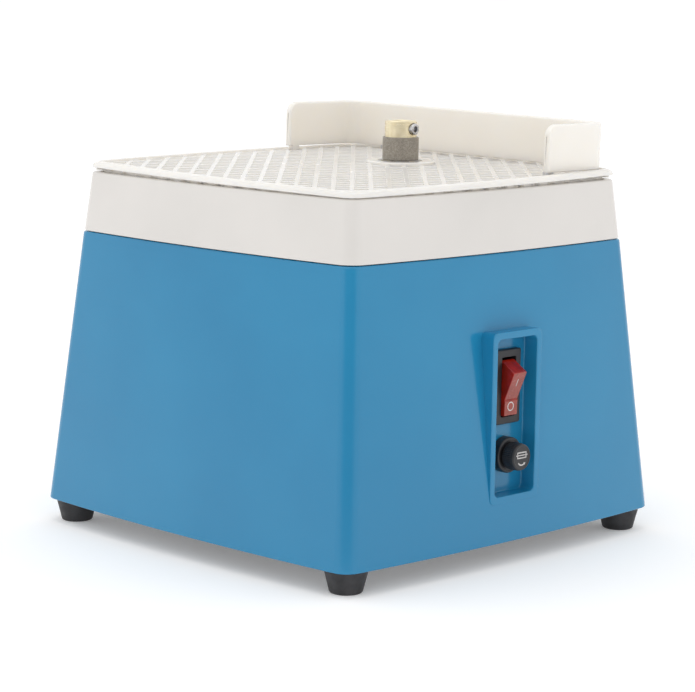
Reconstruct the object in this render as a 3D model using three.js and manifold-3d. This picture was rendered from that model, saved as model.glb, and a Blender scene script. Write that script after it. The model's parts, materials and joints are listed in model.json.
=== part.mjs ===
// Bench-top glass grinder: a tapered housing with a motor inside, a water basin on top of it,
// a lift-off worktable grid, a splash guard and a diamond grinding bit on a vertical spindle.
// Millimetres, +Z up, floor at z = 0 under the middle of the housing, front face towards -Y,
// switch recess on the +X side.
import * as THREE from 'three';
import { mergeVertices } from 'three/addons/utils/BufferGeometryUtils.js';
import Module from 'manifold-3d';

// Facets of the round shapes
const screwSides = 8;
const roundSides = 16;
const wideSides = 24;
const bitSides = 32;

// Fits
const gap = 0.3;              // clearance between pieces that seat on each other
const pressPlay = 0.3;        // radial play between a shaft and what is pressed on it
const screwPlay = 0.3;        // radial play around a screw shank

// Housing
const housingHalf = 96.2;     // half-width of the housing at its bottom edge
const housingTopHalf = 85.1;  // half-width at its top edge
const housingHeight = 120;
const housingWall = 2.6;
const deckThickness = 4;      // top wall that carries the motor and the basin
const sideBow = 3.4;          // how far the middle of each side bulges out
const cornerRadius = 7;

// Feet and base plate
const footHeight = 9.9;
const footTopRadius = 9.1;
const footBottomRadius = 7;
const footInset = 10.7;       // from the housing's bottom edge to a foot's axis
const footScrewRadius = 2;
const footScrewHeadRadius = 3.8;
const footScrewHeadHeight = 2.4;
const footScrewGrip = 12;     // thread length inside the corner post
const footScrewHeadLow = 1.3; // head above the floor
const footPocket = 4;         // depth of the foot's screw pocket
const cornerPostHalf = 6.5;
const basePlateThickness = 2;
const cornerPostHeight = 26;
const ventSlotLength = 50;
const ventSlotWidth = 5;
const ventSlotCount = 6;
const ventSlotPitch = 11;

// Basin
const basinHeight = 25.8;
const basinTopHalf = 82.5;
const basinWall = 2.3;
const basinFloor = 3;
const basinScrewInset = 26;   // from the basin's top edge to a screw axis
const basinScrewRadius = 2;
const basinScrewHeadRadius = 3.5;
const basinScrewHeadHeight = 2.4;
const basinScrewLength = 10;
const basinPadRadius = 6;
const basinPadHeight = 9;
const standpipeRadius = 13;
const standpipePlay = 2;      // between the standpipe and the shaft
const standpipeHeight = 17;
const tablePostRadius = 4;
const tablePostInset = 12.5;  // from the basin's top edge to a table post's axis

// Worktable
const tableTilt = 0.0142;     // radians; the lift-off table sits low at the front right corner
const rimOverhang = 0.25;     // of the rim's lip beyond the basin's top edge
const rimSlope = 2.85;        // from the lip to the flat top of the rim
const rimBorder = 0.9;        // width of that flat top
const rimInnerRadius = 5;
const rimHeight = 2.6;
const rimLift = 1.95;         // rim lip above the basin's top edge when level
const tableBow = 3.5;
const neckPlay = 0.9;         // between the table's skirt and the basin's wall
const neckThickness = 2;
const neckDepth = 5.4;
const gridThickness = 3;
const gridDrop = 0.85;        // grid surface below the top of the rim
const gridPitch = 15.1;
const gridBar = 1.7;
const gridBorder = 7.7;       // plain border between the rim and the lattice
const collarWidth = 5.5;
const collarHeight = 1.2;
const bitHolePlay = 1.7;      // around the diamond sleeve

// Splash guard
const guardInset = 3.85;      // from the rim's lip to the outside of the guard
const guardThickness = 3.3;
const guardHeight = 20.4;
const guardLift = 0.5;        // above the grid surface at the rear right corner
const guardTipForward = -1;   // degrees; the wings' front ends ride up out of their holes
const guardTipSideways = 0.26;
const guardCornerRadius = 9;
const guardEndRadius = 5.5;
const leftWingLength = 45.3;
const rightWingLength = 40;
const pegLength = 4;
const pegDepth = 3.4;
const pegThickness = 2.6;
const pegPlay = 0.55;
const leftPegSetback = 2;     // from the wing's front end
const rightPegSetback = 0.4;
const rearPegSpacing = 110;

// Spindle, motor and bit
const spindleY = 30;
const shaftRadius = 4;
const motorHalf = 38;
const motorCornerRadius = 6;
const upperBellHeight = 14;
const laminationHeight = 32;
const lowerBellHeight = 18;
const bellWall = 4;
const windingOuterRadius = 29;
const windingInnerRadius = 24.5;
const windingHeight = 7;
const rotorRadius = 22;
const airGap = 0.6;
const rotorHeight = 36;
const bearingRadius = 11;
const bearingHeight = 7;
const shaftTail = 16;         // shaft below the lower bell
const fanRadius = 30;
const fanHubRadius = 8;
const fanHeight = 9;
const fanDisc = 2;
const fanDrop = 5;            // below the lower bell
const fanBlades = 7;
const fanBladeThickness = 1.6;
const motorBoltInset = 6;     // from the motor's side to a bolt's axis
const motorBoltRadius = 2;
const motorBoltGrip = 9;
const mountScrewOffset = 24.5;
const mountScrewRadius = 1.8;
const mountScrewHeadRadius = 3.4;
const mountScrewHeadHeight = 2;
const mountScrewLength = 11;
const slingerRadius = 17;
const slingerWall = 2;
const slingerHeight = 8;
const slingerOverlap = 4.4;   // of the slinger's skirt over the standpipe
const slingerHub = 8;
const slingerClearance = 0.8; // between the hub and the standpipe's top
const bitLift = 0.5;          // diamond sleeve above the table's collar
const sleeveRadius = 8.05;
const sleeveHeight = 10.2;
const coreRadius = 7.05;
const coreHeight = 17.4;
const coreChamfer = 0.7;
const shaftBelowCore = 2.2;   // shaft end below the top of the bit
const setScrewRadius = 2.5;
const setScrewPlay = 0.3;
const setScrewProud = 1.5;
const setScrewFromTop = 3.5;
const setScrewAngle = THREE.MathUtils.degToRad(5);
const hexAcrossFlats = 2.5;

// Switch recess on the +X side (heights are above the housing's bottom edge)
const recessY = 0.55;         // middle of the recess and of what is in it
const recessProud = 1.8;      // frame's upright front beyond the housing's bottom edge
const recessHalfWidth = 12.2;
const recessLow = 19.5;
const recessHigh = 85.6;
const recessDepth = 7.2;
const recessRim = 2.9;
const recessRadius = 2.4;
const recessFloor = 2.4;

// Rocker switch
const switchHeight = 64.5;    // axis above the housing's bottom edge
const bezelLip = 2;           // of the bezel above and below the switch body
const bezelWidth = 15;
const bezelThickness = 2.2;
const switchBodyWall = 1.2;   // above and below the rocker's window
const switchBodyWidth = 12.6;
const switchBodyDepth = 20;
const switchWallBack = 3;
const rockerWidth = 8;
const rockerBack = 1.9;       // pivot to the back of an end face
const rockerFlare = 12.25;    // pivot to the end of the rocker
const rockerHeel = 3.5;       // pivot to the rocker's flat back
const rockerHeelHalf = 4;
const rockerHalfSpan = 9.6;
const rockerReach = 10.3;     // pivot to the corner of a rocker face
const rockerFold = 8.9;       // pivot to the fold between the two faces
const rockerPivotDepth = 6;   // pivot behind the front of the bezel
const rockerAngle = THREE.MathUtils.degToRad(15);
const rockerEndPlay = 0.25;   // between the rocker's end and its window
const trunnionRadius = 1.2;
const trunnionLength = 1.2;
const terminalWidth = 6.3;
const terminalThickness = 0.8;
const terminalLength = 9;
const terminalSpacing = 8.4;

// Fuse holder
const fuseHeight = 35.7;       // axis above the housing's bottom edge
const fuseFlangeRadius = 7.6;
const fuseFlangeThickness = 4;
const fuseBodyRadius = 6;
const fuseBodyLength = 32;
const fuseBoreFloor = 2;
const fuseNutRadius = 9.2;
const fuseNutThickness = 4;
const fuseCapRadius = 5.8;
const fuseCapLength = 6.2;
const fuseStemRadius = 3.8;
const fuseStemPlay = 0.4;      // between the cap's stem and the holder's bore
const fuseStemLength = 5;
const fuseRadius = 2.6;
const fuseLength = 20;

// Cord gland on the rear side, and electrics on the base plate
const glandX = 55;
const glandHeight = 24;
const glandRadius = 6.5;
const glandFlangeRadius = 9;
const glandBoreRadius = 3.6;
const glandProud = 5;
const glandInside = 8;
const glandFlangePlay = 0.37; // in front of the leaning side
const glandFlangeDepth = 2.4;
const glandNutPlay = 1.77;    // behind the leaning, bowed wall
const glandNutDepth = 3.4;
const glandNeck = 0.6;        // thread's radius below the hole's
const capacitorRadius = 15;
const capacitorLength = 48;
const capacitorX = -40;
const capacitorY = -52;
const terminalBlockSize = new THREE.Vector3(42, 18, 14);
const terminalBlockX = 40;
const terminalBlockY = -58;
const terminalHoleCount = 3;
const terminalHolePitch = 12.4;
const terminalHoleRadius = 2.6;

// Worked out from the sizes above
const housingBase = footHeight;
const housingTop = housingBase + housingHeight;
const deckUnder = housingTop - deckThickness;
const basinBase = housingTop + gap;
const basinTop = basinBase + basinHeight;
const rimBase = basinTop + rimLift;
const rimTop = rimBase + rimHeight;
const gridTop = rimTop - gridDrop;
const gridUnder = gridTop - gridThickness;
const neckBase = rimBase - neckDepth;
const rimHalf = basinTopHalf + rimOverhang;
const neckLow = neckBase - rimHalf * Math.SQRT2 * tableTilt;
const neckHalf = Math.min(basinHalfAt(neckLow), basinTopHalf) - basinWall - neckPlay;
const rimTopHalf = rimHalf - rimSlope;
const rimInnerHalf = rimTopHalf - rimBorder;
const gridHalf = rimInnerHalf - gridBorder;
const guardHalf = rimHalf - guardInset;
const bitHoleRadius = sleeveRadius + bitHolePlay;
const collarRadius = bitHoleRadius + collarWidth;
const standpipeBoreRadius = shaftRadius + standpipePlay;
const motorBoltOffset = motorHalf - motorBoltInset;
const collarTop = gridTop + collarHeight;
const guardBase = gridTop + guardLift;
const upperBellTop = deckUnder - gap;
const upperBellUnder = upperBellTop - upperBellHeight;
const laminationTop = upperBellUnder - gap;
const laminationUnder = laminationTop - laminationHeight;
const lowerBellTop = laminationUnder - gap;
const lowerBellUnder = lowerBellTop - lowerBellHeight;
const standpipeTop = basinBase + basinFloor + standpipeHeight;
const sleeveBase = collarTop + bitLift;
const coreTop = sleeveBase + coreHeight;
const shaftTop = coreTop - shaftBelowCore;
const shaftBottom = lowerBellUnder - shaftTail;
const recessFront = housingHalf + recessProud;
const floorPlane = recessFront - recessDepth;
const bezelFront = floorPlane + gap + bezelThickness;
const rockerWindow = 2 * (rockerFlare + rockerEndPlay);
const switchBodyHeight = rockerWindow + 2 * switchBodyWall;
const bezelHeight = switchBodyHeight + 2 * bezelLip;
const switchZ = housingBase + switchHeight;
const fuseZ = housingBase + fuseHeight;
const fuseBoreRadius = fuseStemRadius + fuseStemPlay;
const cornerNames = ['front_left', 'front_right', 'rear_right', 'rear_left'];
const cornerSigns = [[-1, -1], [1, -1], [1, 1], [-1, 1]];

const wasm = await Module();
wasm.setup();

// ---------------------------------------------------------------- solids

function toSolid(geometry) {
  const plain = geometry.index ? geometry.toNonIndexed() : geometry.clone();
  plain.deleteAttribute('normal');
  plain.deleteAttribute('uv');
  const merged = mergeVertices(plain, 1e-4);
  return new wasm.Manifold(new wasm.Mesh({
    numProp: 3,
    vertProperties: new Float32Array(merged.attributes.position.array),
    triVerts: new Uint32Array(merged.index.array),
  }));
}

function toGeometry(solid) {
  const mesh = solid.getMesh();
  const geometry = new THREE.BufferGeometry();
  geometry.setAttribute('position', new THREE.BufferAttribute(mesh.vertProperties, 3));
  geometry.setIndex(new THREE.BufferAttribute(mesh.triVerts, 1));
  geometry.computeVertexNormals();
  return geometry;
}

// A square with bowed sides and round corners.
function bowedSquare(half, radius, bow) {
  const edge = half - radius;
  const pull = half + 2 * bow;
  const shape = new THREE.Shape();
  shape.moveTo(-edge, -half);
  shape.quadraticCurveTo(0, -pull, edge, -half);
  shape.absarc(edge, -edge, radius, -Math.PI / 2, 0);
  shape.quadraticCurveTo(pull, 0, half, edge);
  shape.absarc(edge, edge, radius, 0, Math.PI / 2);
  shape.quadraticCurveTo(0, pull, -edge, half);
  shape.absarc(-edge, edge, radius, Math.PI / 2, Math.PI);
  shape.quadraticCurveTo(-pull, 0, -half, -edge);
  shape.absarc(-edge, -edge, radius, Math.PI, Math.PI * 1.5);
  return shape;
}

function roundedRectangle(width, height, radius) {
  const x = width / 2 - radius;
  const y = height / 2 - radius;
  const shape = new THREE.Shape();
  shape.moveTo(-x, -y - radius);
  shape.absarc(x, -y, radius, -Math.PI / 2, 0);
  shape.absarc(x, y, radius, 0, Math.PI / 2);
  shape.absarc(-x, y, radius, Math.PI / 2, Math.PI);
  shape.absarc(-x, -y, radius, Math.PI, Math.PI * 1.5);
  return shape;
}

function extrude(shape, depth, curveSegments = 5, steps = 1) {
  return new THREE.ExtrudeGeometry(shape, { depth, steps, curveSegments, bevelEnabled: false });
}

// Upright solid with the bowed outline; halfAt gives its half-width at each height.
function bowedSolid(low, high, halfAt, { bow = sideBow, radius = cornerRadius, steps = 1 } = {}) {
  const reference = halfAt(low);
  const geometry = extrude(bowedSquare(reference, radius, bow), high - low, 5, steps);
  const position = geometry.attributes.position;
  for (let i = 0; i < position.count; i += 1) {
    const z = low + position.getZ(i);
    const scale = halfAt(z) / reference;
    position.setXYZ(i, position.getX(i) * scale, position.getY(i) * scale, z);
  }
  return toSolid(geometry);
}

function box(low, high) {
  const size = new THREE.Vector3().subVectors(high, low);
  const middle = new THREE.Vector3().addVectors(low, high).multiplyScalar(0.5);
  const geometry = new THREE.BoxGeometry(size.x, size.y, size.z);
  return toSolid(geometry.translate(middle.x, middle.y, middle.z));
}

function vector(x, y, z) {
  return new THREE.Vector3(x, y, z);
}

// Upright cylinder from height low to height high.
function post(x, y, low, high, radius, sides = roundSides) {
  const geometry = new THREE.CylinderGeometry(radius, radius, high - low, sides);
  geometry.rotateX(Math.PI / 2).translate(x, y, (low + high) / 2);
  return toSolid(geometry);
}

// Cylinder along X from x = low to x = high.
function barX(y, z, low, high, radius, sides = roundSides) {
  const geometry = new THREE.CylinderGeometry(radius, radius, high - low, sides);
  geometry.rotateZ(Math.PI / 2).translate((low + high) / 2, y, z);
  return toSolid(geometry);
}

// Cylinder along Y from y = low to y = high.
function barY(x, z, low, high, radius, sides = roundSides) {
  const geometry = new THREE.CylinderGeometry(radius, radius, high - low, sides);
  geometry.translate(x, (low + high) / 2, z);
  return toSolid(geometry);
}

// Upright solid of revolution about (x, y); points are [radius, height].
function turned(x, y, points, sides = roundSides) {
  const profile = points.map(([radius, height]) => new THREE.Vector2(radius, height));
  const geometry = new THREE.LatheGeometry(profile, sides);
  geometry.rotateX(Math.PI / 2).translate(x, y, 0);
  return toSolid(geometry);
}

function ring(x, y, low, high, inner, outer, sides = wideSides) {
  return post(x, y, low, high, outer, sides).subtract(post(x, y, low - 1, high + 1, inner, sides));
}

function joined(solids) {
  return solids.reduce((whole, piece) => whole.add(piece));
}

// The table and what stands on it lean about the diagonal through the two side corners.
function leaned(solid) {
  const axis = vector(1, 1, 0).normalize();
  const pivot = vector(0, 0, rimBase);
  const geometry = toGeometry(solid);
  geometry.translate(-pivot.x, -pivot.y, -pivot.z);
  geometry.applyMatrix4(new THREE.Matrix4().makeRotationAxis(axis, tableTilt));
  geometry.translate(pivot.x, pivot.y, pivot.z);
  return geometry;
}

// A pan-head or cap screw with its head at the bottom and its tip up.
function screwUp(x, y, headLow, headHeight, headRadius, tip, radius) {
  return turned(x, y, [
    [0, headLow], [headRadius, headLow], [headRadius, headLow + headHeight],
    [radius, headLow + headHeight], [radius, tip - radius / 2], [radius / 2, tip], [0, tip],
  ], screwSides);
}

// ---------------------------------------------------------------- colours

const looks = {
  bluePlastic: [0x2a87b5, 0.32, 0],
  whitePlastic: [0xe6e2d9, 0.35, 0],
  blackPlastic: [0x1d1d20, 0.5, 0],
  blackRubber: [0x1b1b1d, 0.75, 0],
  darkSteel: [0x6c6e72, 0.4, 1],
  steel: [0xb8bbc0, 0.3, 1],
  aluminium: [0xa9acb0, 0.45, 1],
  copper: [0xb06a3a, 0.4, 1],
  brass: [0xc9a964, 0.3, 1],
  diamond: [0x8f877c, 0.85, 0.4],
  redPlastic: [0xa82a22, 0.3, 0],
  glass: [0xdde6e8, 0.1, 0],
};

const part = new THREE.Group();

function addPart(name, shape, look) {
  const [color, roughness, metalness] = looks[look];
  const geometry = shape.isBufferGeometry ? shape : toGeometry(shape);
  const material = new THREE.MeshStandardMaterial({ color, roughness, metalness });
  const mesh = new THREE.Mesh(geometry, material);
  mesh.name = name;
  part.add(mesh);
}

// ---------------------------------------------------------------- housing

function housingHalfAt(z) {
  return THREE.MathUtils.mapLinear(z, housingBase, housingTop, housingHalf, housingTopHalf);
}

function footAxis([signX, signY]) {
  const offset = housingHalf - footInset;
  return [signX * offset, signY * offset];
}

function basinScrewAxis([signX, signY]) {
  const offset = basinTopHalf - basinScrewInset;
  return [signX * offset, signY * offset];
}

function squareAxis([signX, signY], offset) {
  return [signX * offset, spindleY + signY * offset];
}

// Upright prism through the +X side with a rounded rectangle for its Y-Z section.
function recessPrism(xLow, xHigh, margin) {
  const width = 2 * (recessHalfWidth + margin);
  const height = recessHigh - recessLow + 2 * margin;
  const geometry = extrude(roundedRectangle(width, height, recessRadius), xHigh - xLow, 4);
  geometry.rotateZ(Math.PI / 2).rotateY(Math.PI / 2);
  geometry.translate(xLow, recessY, housingBase + (recessLow + recessHigh) / 2);
  return toSolid(geometry);
}

function housingShell() {
  const outer = bowedSolid(housingBase, housingTop, housingHalfAt);
  const cavity = bowedSolid(housingBase - 1, deckUnder, (z) => housingHalfAt(z) - housingWall);
  const postBase = housingBase + gap + basePlateThickness + gap;
  const reach = housingHalf + sideBow + 5;
  const glandCut = housingTopHalf - cornerRadius;
  const posts = cornerSigns.map((signs) => {
    const [x, y] = footAxis(signs);
    const inner = vector(x - signs[0] * cornerPostHalf, y - signs[1] * cornerPostHalf, postBase);
    const far = vector(signs[0] * reach, signs[1] * reach, postBase + cornerPostHeight);
    return box(inner.clone().min(far), inner.clone().max(far)).intersect(outer);
  });
  let shell = outer.subtract(cavity);
  shell = joined([shell, recessPrism(floorPlane - recessFloor, recessFront, recessRim), ...posts]);
  shell = shell.subtract(recessPrism(floorPlane, recessFront + 5, 0));
  const switchHalfWidth = switchBodyWidth / 2 + gap;
  const switchHalfHeight = switchBodyHeight / 2 + gap;
  const cutBack = floorPlane - switchBodyDepth - gap;
  shell = shell.subtract(box(
    vector(cutBack, recessY - switchHalfWidth, switchZ - switchHalfHeight),
    vector(floorPlane + 1, recessY + switchHalfWidth, switchZ + switchHalfHeight),
  ));
  const floorBack = floorPlane - recessFloor;
  shell = shell.subtract(barX(recessY, fuseZ, cutBack, floorPlane + 1, fuseBodyRadius + gap));
  shell = shell.subtract(barX(recessY, fuseZ, cutBack, floorBack, fuseNutRadius + gap));
  shell = shell.subtract(barY(glandX, housingBase + glandHeight, glandCut, reach, glandRadius + gap));
  shell = shell.subtract(post(0, spindleY, deckUnder - 1, housingTop + 1, bearingRadius + 1));
  for (const signs of cornerSigns) {
    const [footX, footY] = footAxis(signs);
    const holeTop = postBase + footScrewGrip + 2;
    shell = shell.subtract(post(footX, footY, 0, holeTop, footScrewRadius + screwPlay, screwSides));
    const [basinX, basinY] = basinScrewAxis(signs);
    const basinHole = basinScrewRadius + screwPlay;
    shell = shell.subtract(post(basinX, basinY, deckUnder - 1, housingTop + 1, basinHole, screwSides));
    const [mountX, mountY] = squareAxis(signs, mountScrewOffset);
    const sinkBase = housingTop - mountScrewHeadHeight - 2 * gap;
    const mountHole = mountScrewRadius + screwPlay;
    shell = shell.subtract(post(mountX, mountY, deckUnder - 1, housingTop + 1, mountHole, screwSides));
    shell = shell.subtract(post(mountX, mountY, sinkBase, housingTop + 1, mountScrewHeadRadius + gap,
      screwSides));
  }
  return shell;
}

function basePlate() {
  const low = housingBase + gap;
  const high = low + basePlateThickness;
  const half = Math.min(housingHalfAt(low), housingHalfAt(high)) - housingWall - gap;
  let plate = bowedSolid(low, high, () => half);
  for (const signs of cornerSigns) {
    const [x, y] = footAxis(signs);
    plate = plate.subtract(post(x, y, 0, low + 10, footScrewRadius + screwPlay, screwSides));
  }
  for (let i = 0; i < ventSlotCount; i += 1) {
    const y = spindleY + (i - (ventSlotCount - 1) / 2) * ventSlotPitch;
    const slot = extrude(roundedRectangle(ventSlotLength, ventSlotWidth, ventSlotWidth / 2.01), 10, 2);
    plate = plate.subtract(toSolid(slot.translate(0, y, low - 4)));
  }
  return plate;
}

function foot(signs) {
  const [x, y] = footAxis(signs);
  const top = footHeight - gap;
  const pocket = footPocket;
  const bore = footScrewRadius + screwPlay;
  return turned(x, y, [
    [footScrewHeadRadius + gap, 0], [footBottomRadius - 1.5, 0], [footBottomRadius - 0.4, 0.5],
    [footBottomRadius, 1.5], [footTopRadius, top], [bore, top], [bore, pocket],
    [footScrewHeadRadius + gap, pocket], [footScrewHeadRadius + gap, 0],
  ]);
}

function footScrew(signs) {
  const [x, y] = footAxis(signs);
  const tip = housingBase + 2 * gap + basePlateThickness + footScrewGrip;
  return screwUp(x, y, footScrewHeadLow, footScrewHeadHeight, footScrewHeadRadius, tip,
    footScrewRadius);
}

function cordGland() {
  const z = housingBase + glandHeight;
  const face = housingHalfAt(z) + sideBow;
  const wallBack = face - housingWall;
  const inner = wallBack - glandInside;
  const lean = glandFlangeRadius * Math.abs(housingHalf - housingTopHalf) / housingHeight;
  const flange = face + lean + glandFlangePlay;
  const nut = wallBack - lean - glandNutPlay;
  return joined([
    barY(glandX, z, inner, face + glandProud, glandRadius - glandNeck),
    barY(glandX, z, flange, flange + glandFlangeDepth, glandFlangeRadius, 6),
    barY(glandX, z, nut - glandNutDepth, nut, glandFlangeRadius, 6),
  ]).subtract(barY(glandX, z, inner - 1, face + glandProud + 1, glandBoreRadius));
}

addPart('housing_shell', housingShell(), 'bluePlastic');
addPart('base_plate', basePlate(), 'darkSteel');
cornerSigns.forEach((signs, i) => {
  addPart(`foot_${cornerNames[i]}`, foot(signs), 'blackRubber');
  addPart(`foot_screw_${cornerNames[i]}`, footScrew(signs), 'steel');
});
addPart('cord_gland', cordGland(), 'blackPlastic');

// ---------------------------------------------------------------- basin

function basinHalfAt(z) {
  return THREE.MathUtils.mapLinear(z, basinBase, basinTop, housingTopHalf, basinTopHalf);
}

function basin() {
  const floorTop = basinBase + basinFloor;
  const postOffset = basinTopHalf - tablePostInset;
  const postTop = gridUnder - postOffset * Math.SQRT2 * tableTilt - 2 * gap;
  let body = bowedSolid(basinBase, basinTop, basinHalfAt);
  body = body.subtract(bowedSolid(floorTop, basinTop + 1, (z) => basinHalfAt(z) - basinWall));
  body = body.add(post(0, spindleY, basinBase + 1, standpipeTop, standpipeRadius, wideSides));
  for (const signs of cornerSigns) {
    const [x, y] = basinScrewAxis(signs);
    body = body.add(post(x, y, floorTop - 1, floorTop + basinPadHeight, basinPadRadius));
    body = body.add(post(
      signs[0] * postOffset, signs[1] * postOffset, floorTop - 1, postTop, tablePostRadius,
    ));
  }
  for (const signs of cornerSigns) {
    const [x, y] = basinScrewAxis(signs);
    const hole = basinScrewRadius + screwPlay;
    body = body.subtract(post(x, y, basinBase - 1, deckUnder + basinScrewLength + 1, hole, screwSides));
  }
  return body.subtract(post(0, spindleY, basinBase - 1, standpipeTop + 1, standpipeBoreRadius));
}

function basinScrew(signs) {
  const [x, y] = basinScrewAxis(signs);
  const headLow = deckUnder - gap - basinScrewHeadHeight;
  const tip = deckUnder + basinScrewLength;
  return screwUp(x, y, headLow, basinScrewHeadHeight, basinScrewHeadRadius, tip, basinScrewRadius);
}

addPart('basin', basin(), 'whitePlastic');
cornerSigns.forEach((signs, i) => {
  addPart(`basin_screw_${cornerNames[i]}`, basinScrew(signs), 'steel');
});

// ---------------------------------------------------------------- motor

function motorPrism(low, high) {
  const shape = roundedRectangle(2 * motorHalf, 2 * motorHalf, motorCornerRadius);
  return toSolid(extrude(shape, high - low, 4).translate(0, spindleY, low));
}

function boltHoles(low, high, offset, radius) {
  return joined(cornerSigns.map((signs) => {
    const [x, y] = squareAxis(signs, offset);
    return post(x, y, low, high, radius, screwSides);
  }));
}

function upperBell() {
  const cavityRadius = windingOuterRadius + 1;
  const cavityTop = upperBellTop - bearingHeight - 2;
  const seatBase = upperBellTop - bearingHeight - gap;
  let bell = motorPrism(upperBellUnder, upperBellTop);
  bell = bell.subtract(post(0, spindleY, upperBellUnder - 1, cavityTop, cavityRadius, wideSides));
  bell = bell.subtract(post(0, spindleY, seatBase, upperBellTop + 1, bearingRadius + gap));
  bell = bell.subtract(post(0, spindleY, cavityTop - 1, seatBase + 1, bearingRadius - 2));
  const boltTop = upperBellUnder + motorBoltGrip + 1;
  bell = bell.subtract(boltHoles(upperBellUnder - 1, boltTop, motorBoltOffset,
    motorBoltRadius + screwPlay));
  const mountBase = deckUnder - gap - mountScrewLength + deckThickness;
  return bell.subtract(boltHoles(mountBase, upperBellTop + 1, mountScrewOffset,
    mountScrewRadius + screwPlay));
}

function lowerBell() {
  const cavityBase = lowerBellUnder + bellWall + bearingHeight;
  const seatTop = lowerBellUnder + bellWall + bearingHeight + 0.5;
  let bell = motorPrism(lowerBellUnder, lowerBellTop);
  bell = bell.subtract(post(0, spindleY, cavityBase, lowerBellTop + 1, windingOuterRadius + 1,
    wideSides));
  bell = bell.subtract(post(0, spindleY, lowerBellUnder + bellWall, seatTop, bearingRadius + gap));
  bell = bell.subtract(post(0, spindleY, lowerBellUnder - 1, seatTop, bearingRadius - 2));
  return bell.subtract(boltHoles(lowerBellUnder - 1, lowerBellTop + 1, motorBoltOffset,
    motorBoltRadius + screwPlay));
}

function laminations() {
  let stack = motorPrism(laminationUnder, laminationTop);
  const bore = rotorRadius + airGap;
  stack = stack.subtract(post(0, spindleY, laminationUnder - 1, laminationTop + 1, bore, wideSides));
  return stack.subtract(boltHoles(laminationUnder - 1, laminationTop + 1, motorBoltOffset,
    motorBoltRadius + screwPlay));
}

function motorBolt(signs) {
  const [x, y] = squareAxis(signs, motorBoltOffset);
  const headHeight = 2.4;
  const headLow = lowerBellUnder - gap - headHeight;
  const tip = upperBellUnder + motorBoltGrip;
  return screwUp(x, y, headLow, headHeight, motorBoltRadius * 1.8, tip, motorBoltRadius);
}

function mountScrew(signs) {
  const [x, y] = squareAxis(signs, mountScrewOffset);
  const headTop = housingTop - gap;
  const headLow = headTop - mountScrewHeadHeight;
  const tip = headTop - mountScrewLength + gap;
  return turned(x, y, [
    [0, tip], [mountScrewRadius / 2, tip], [mountScrewRadius, tip + 1], [mountScrewRadius, headLow],
    [mountScrewHeadRadius, headLow], [mountScrewHeadRadius, headTop], [0, headTop],
  ], screwSides);
}

function rotor() {
  const middle = (laminationTop + laminationUnder) / 2;
  return ring(0, spindleY, middle - rotorHeight / 2, middle + rotorHeight / 2,
    shaftRadius + pressPlay, rotorRadius);
}

function shaft() {
  return turned(0, spindleY, [
    [0, shaftBottom], [shaftRadius - 0.6, shaftBottom], [shaftRadius, shaftBottom + 0.6],
    [shaftRadius, shaftTop - 0.6], [shaftRadius - 0.6, shaftTop], [0, shaftTop],
  ]);
}

function fan() {
  const top = lowerBellUnder - fanDrop;
  const low = top - fanHeight;
  const hub = post(0, spindleY, low, top, fanHubRadius);
  const disc = post(0, spindleY, top - fanDisc, top, fanRadius, wideSides);
  const blades = [];
  for (let i = 0; i < fanBlades; i += 1) {
    const blade = new THREE.BoxGeometry(fanRadius - 2, fanBladeThickness, fanHeight);
    blade.translate((fanRadius - 2) / 2 + 1, 0, (low + top) / 2);
    blade.rotateZ((i / fanBlades) * Math.PI * 2);
    blades.push(toSolid(blade.translate(0, spindleY, 0)));
  }
  const whole = joined([hub, disc, ...blades]);
  return whole.subtract(post(0, spindleY, low - 1, top + 1, shaftRadius + pressPlay));
}

function slinger() {
  const inner = slingerRadius - slingerWall;
  const low = standpipeTop - slingerOverlap;
  const top = low + slingerHeight;
  const bore = shaftRadius + pressPlay;
  const hubLow = standpipeTop + slingerClearance;
  return turned(0, spindleY, [
    [bore, hubLow], [slingerHub, hubLow], [slingerHub, top - slingerWall],
    [inner, top - slingerWall], [inner, low], [slingerRadius, low], [slingerRadius, top - 1],
    [slingerRadius - 1, top], [bore, top], [bore, hubLow],
  ], wideSides);
}

addPart('upper_end_bell', upperBell(), 'aluminium');
addPart('lower_end_bell', lowerBell(), 'aluminium');
addPart('stator_laminations', laminations(), 'darkSteel');
addPart('upper_winding', ring(0, spindleY, laminationTop + gap, laminationTop + gap + windingHeight / 2,
  windingInnerRadius, windingOuterRadius), 'copper');
addPart('lower_winding', ring(0, spindleY, laminationUnder - gap - windingHeight / 2,
  laminationUnder - gap, windingInnerRadius, windingOuterRadius), 'copper');
addPart('upper_bearing', ring(0, spindleY, upperBellTop - bearingHeight, upperBellTop,
  shaftRadius + pressPlay, bearingRadius), 'steel');
addPart('lower_bearing', ring(0, spindleY, lowerBellUnder + bellWall + gap,
  lowerBellUnder + bellWall + bearingHeight, shaftRadius + pressPlay, bearingRadius), 'steel');
cornerSigns.forEach((signs, i) => {
  addPart(`motor_bolt_${cornerNames[i]}`, motorBolt(signs), 'steel');
  addPart(`motor_mount_screw_${cornerNames[i]}`, mountScrew(signs), 'steel');
});
addPart('rotor', rotor(), 'darkSteel');
addPart('spindle_shaft', shaft(), 'steel');
addPart('cooling_fan', fan(), 'blackPlastic');
addPart('water_slinger', slinger(), 'blackRubber');

// ---------------------------------------------------------------- bit

function setScrewSolid(from, to, radius, sides) {
  const geometry = new THREE.CylinderGeometry(radius, radius, to - from, sides);
  geometry.rotateZ(-Math.PI / 2).translate((from + to) / 2, 0, 0).rotateZ(setScrewAngle);
  return toSolid(geometry.translate(0, spindleY, coreTop - setScrewFromTop));
}

function bitCore() {
  const bore = shaftRadius + pressPlay;
  const low = sleeveBase;
  const body = turned(0, spindleY, [
    [bore, low], [coreRadius, low], [coreRadius, coreTop - coreChamfer],
    [coreRadius - coreChamfer, coreTop], [bore, coreTop], [bore, low],
  ], bitSides);
  return body.subtract(setScrewSolid(0, coreRadius + 2, setScrewRadius + setScrewPlay, roundSides));
}

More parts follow.
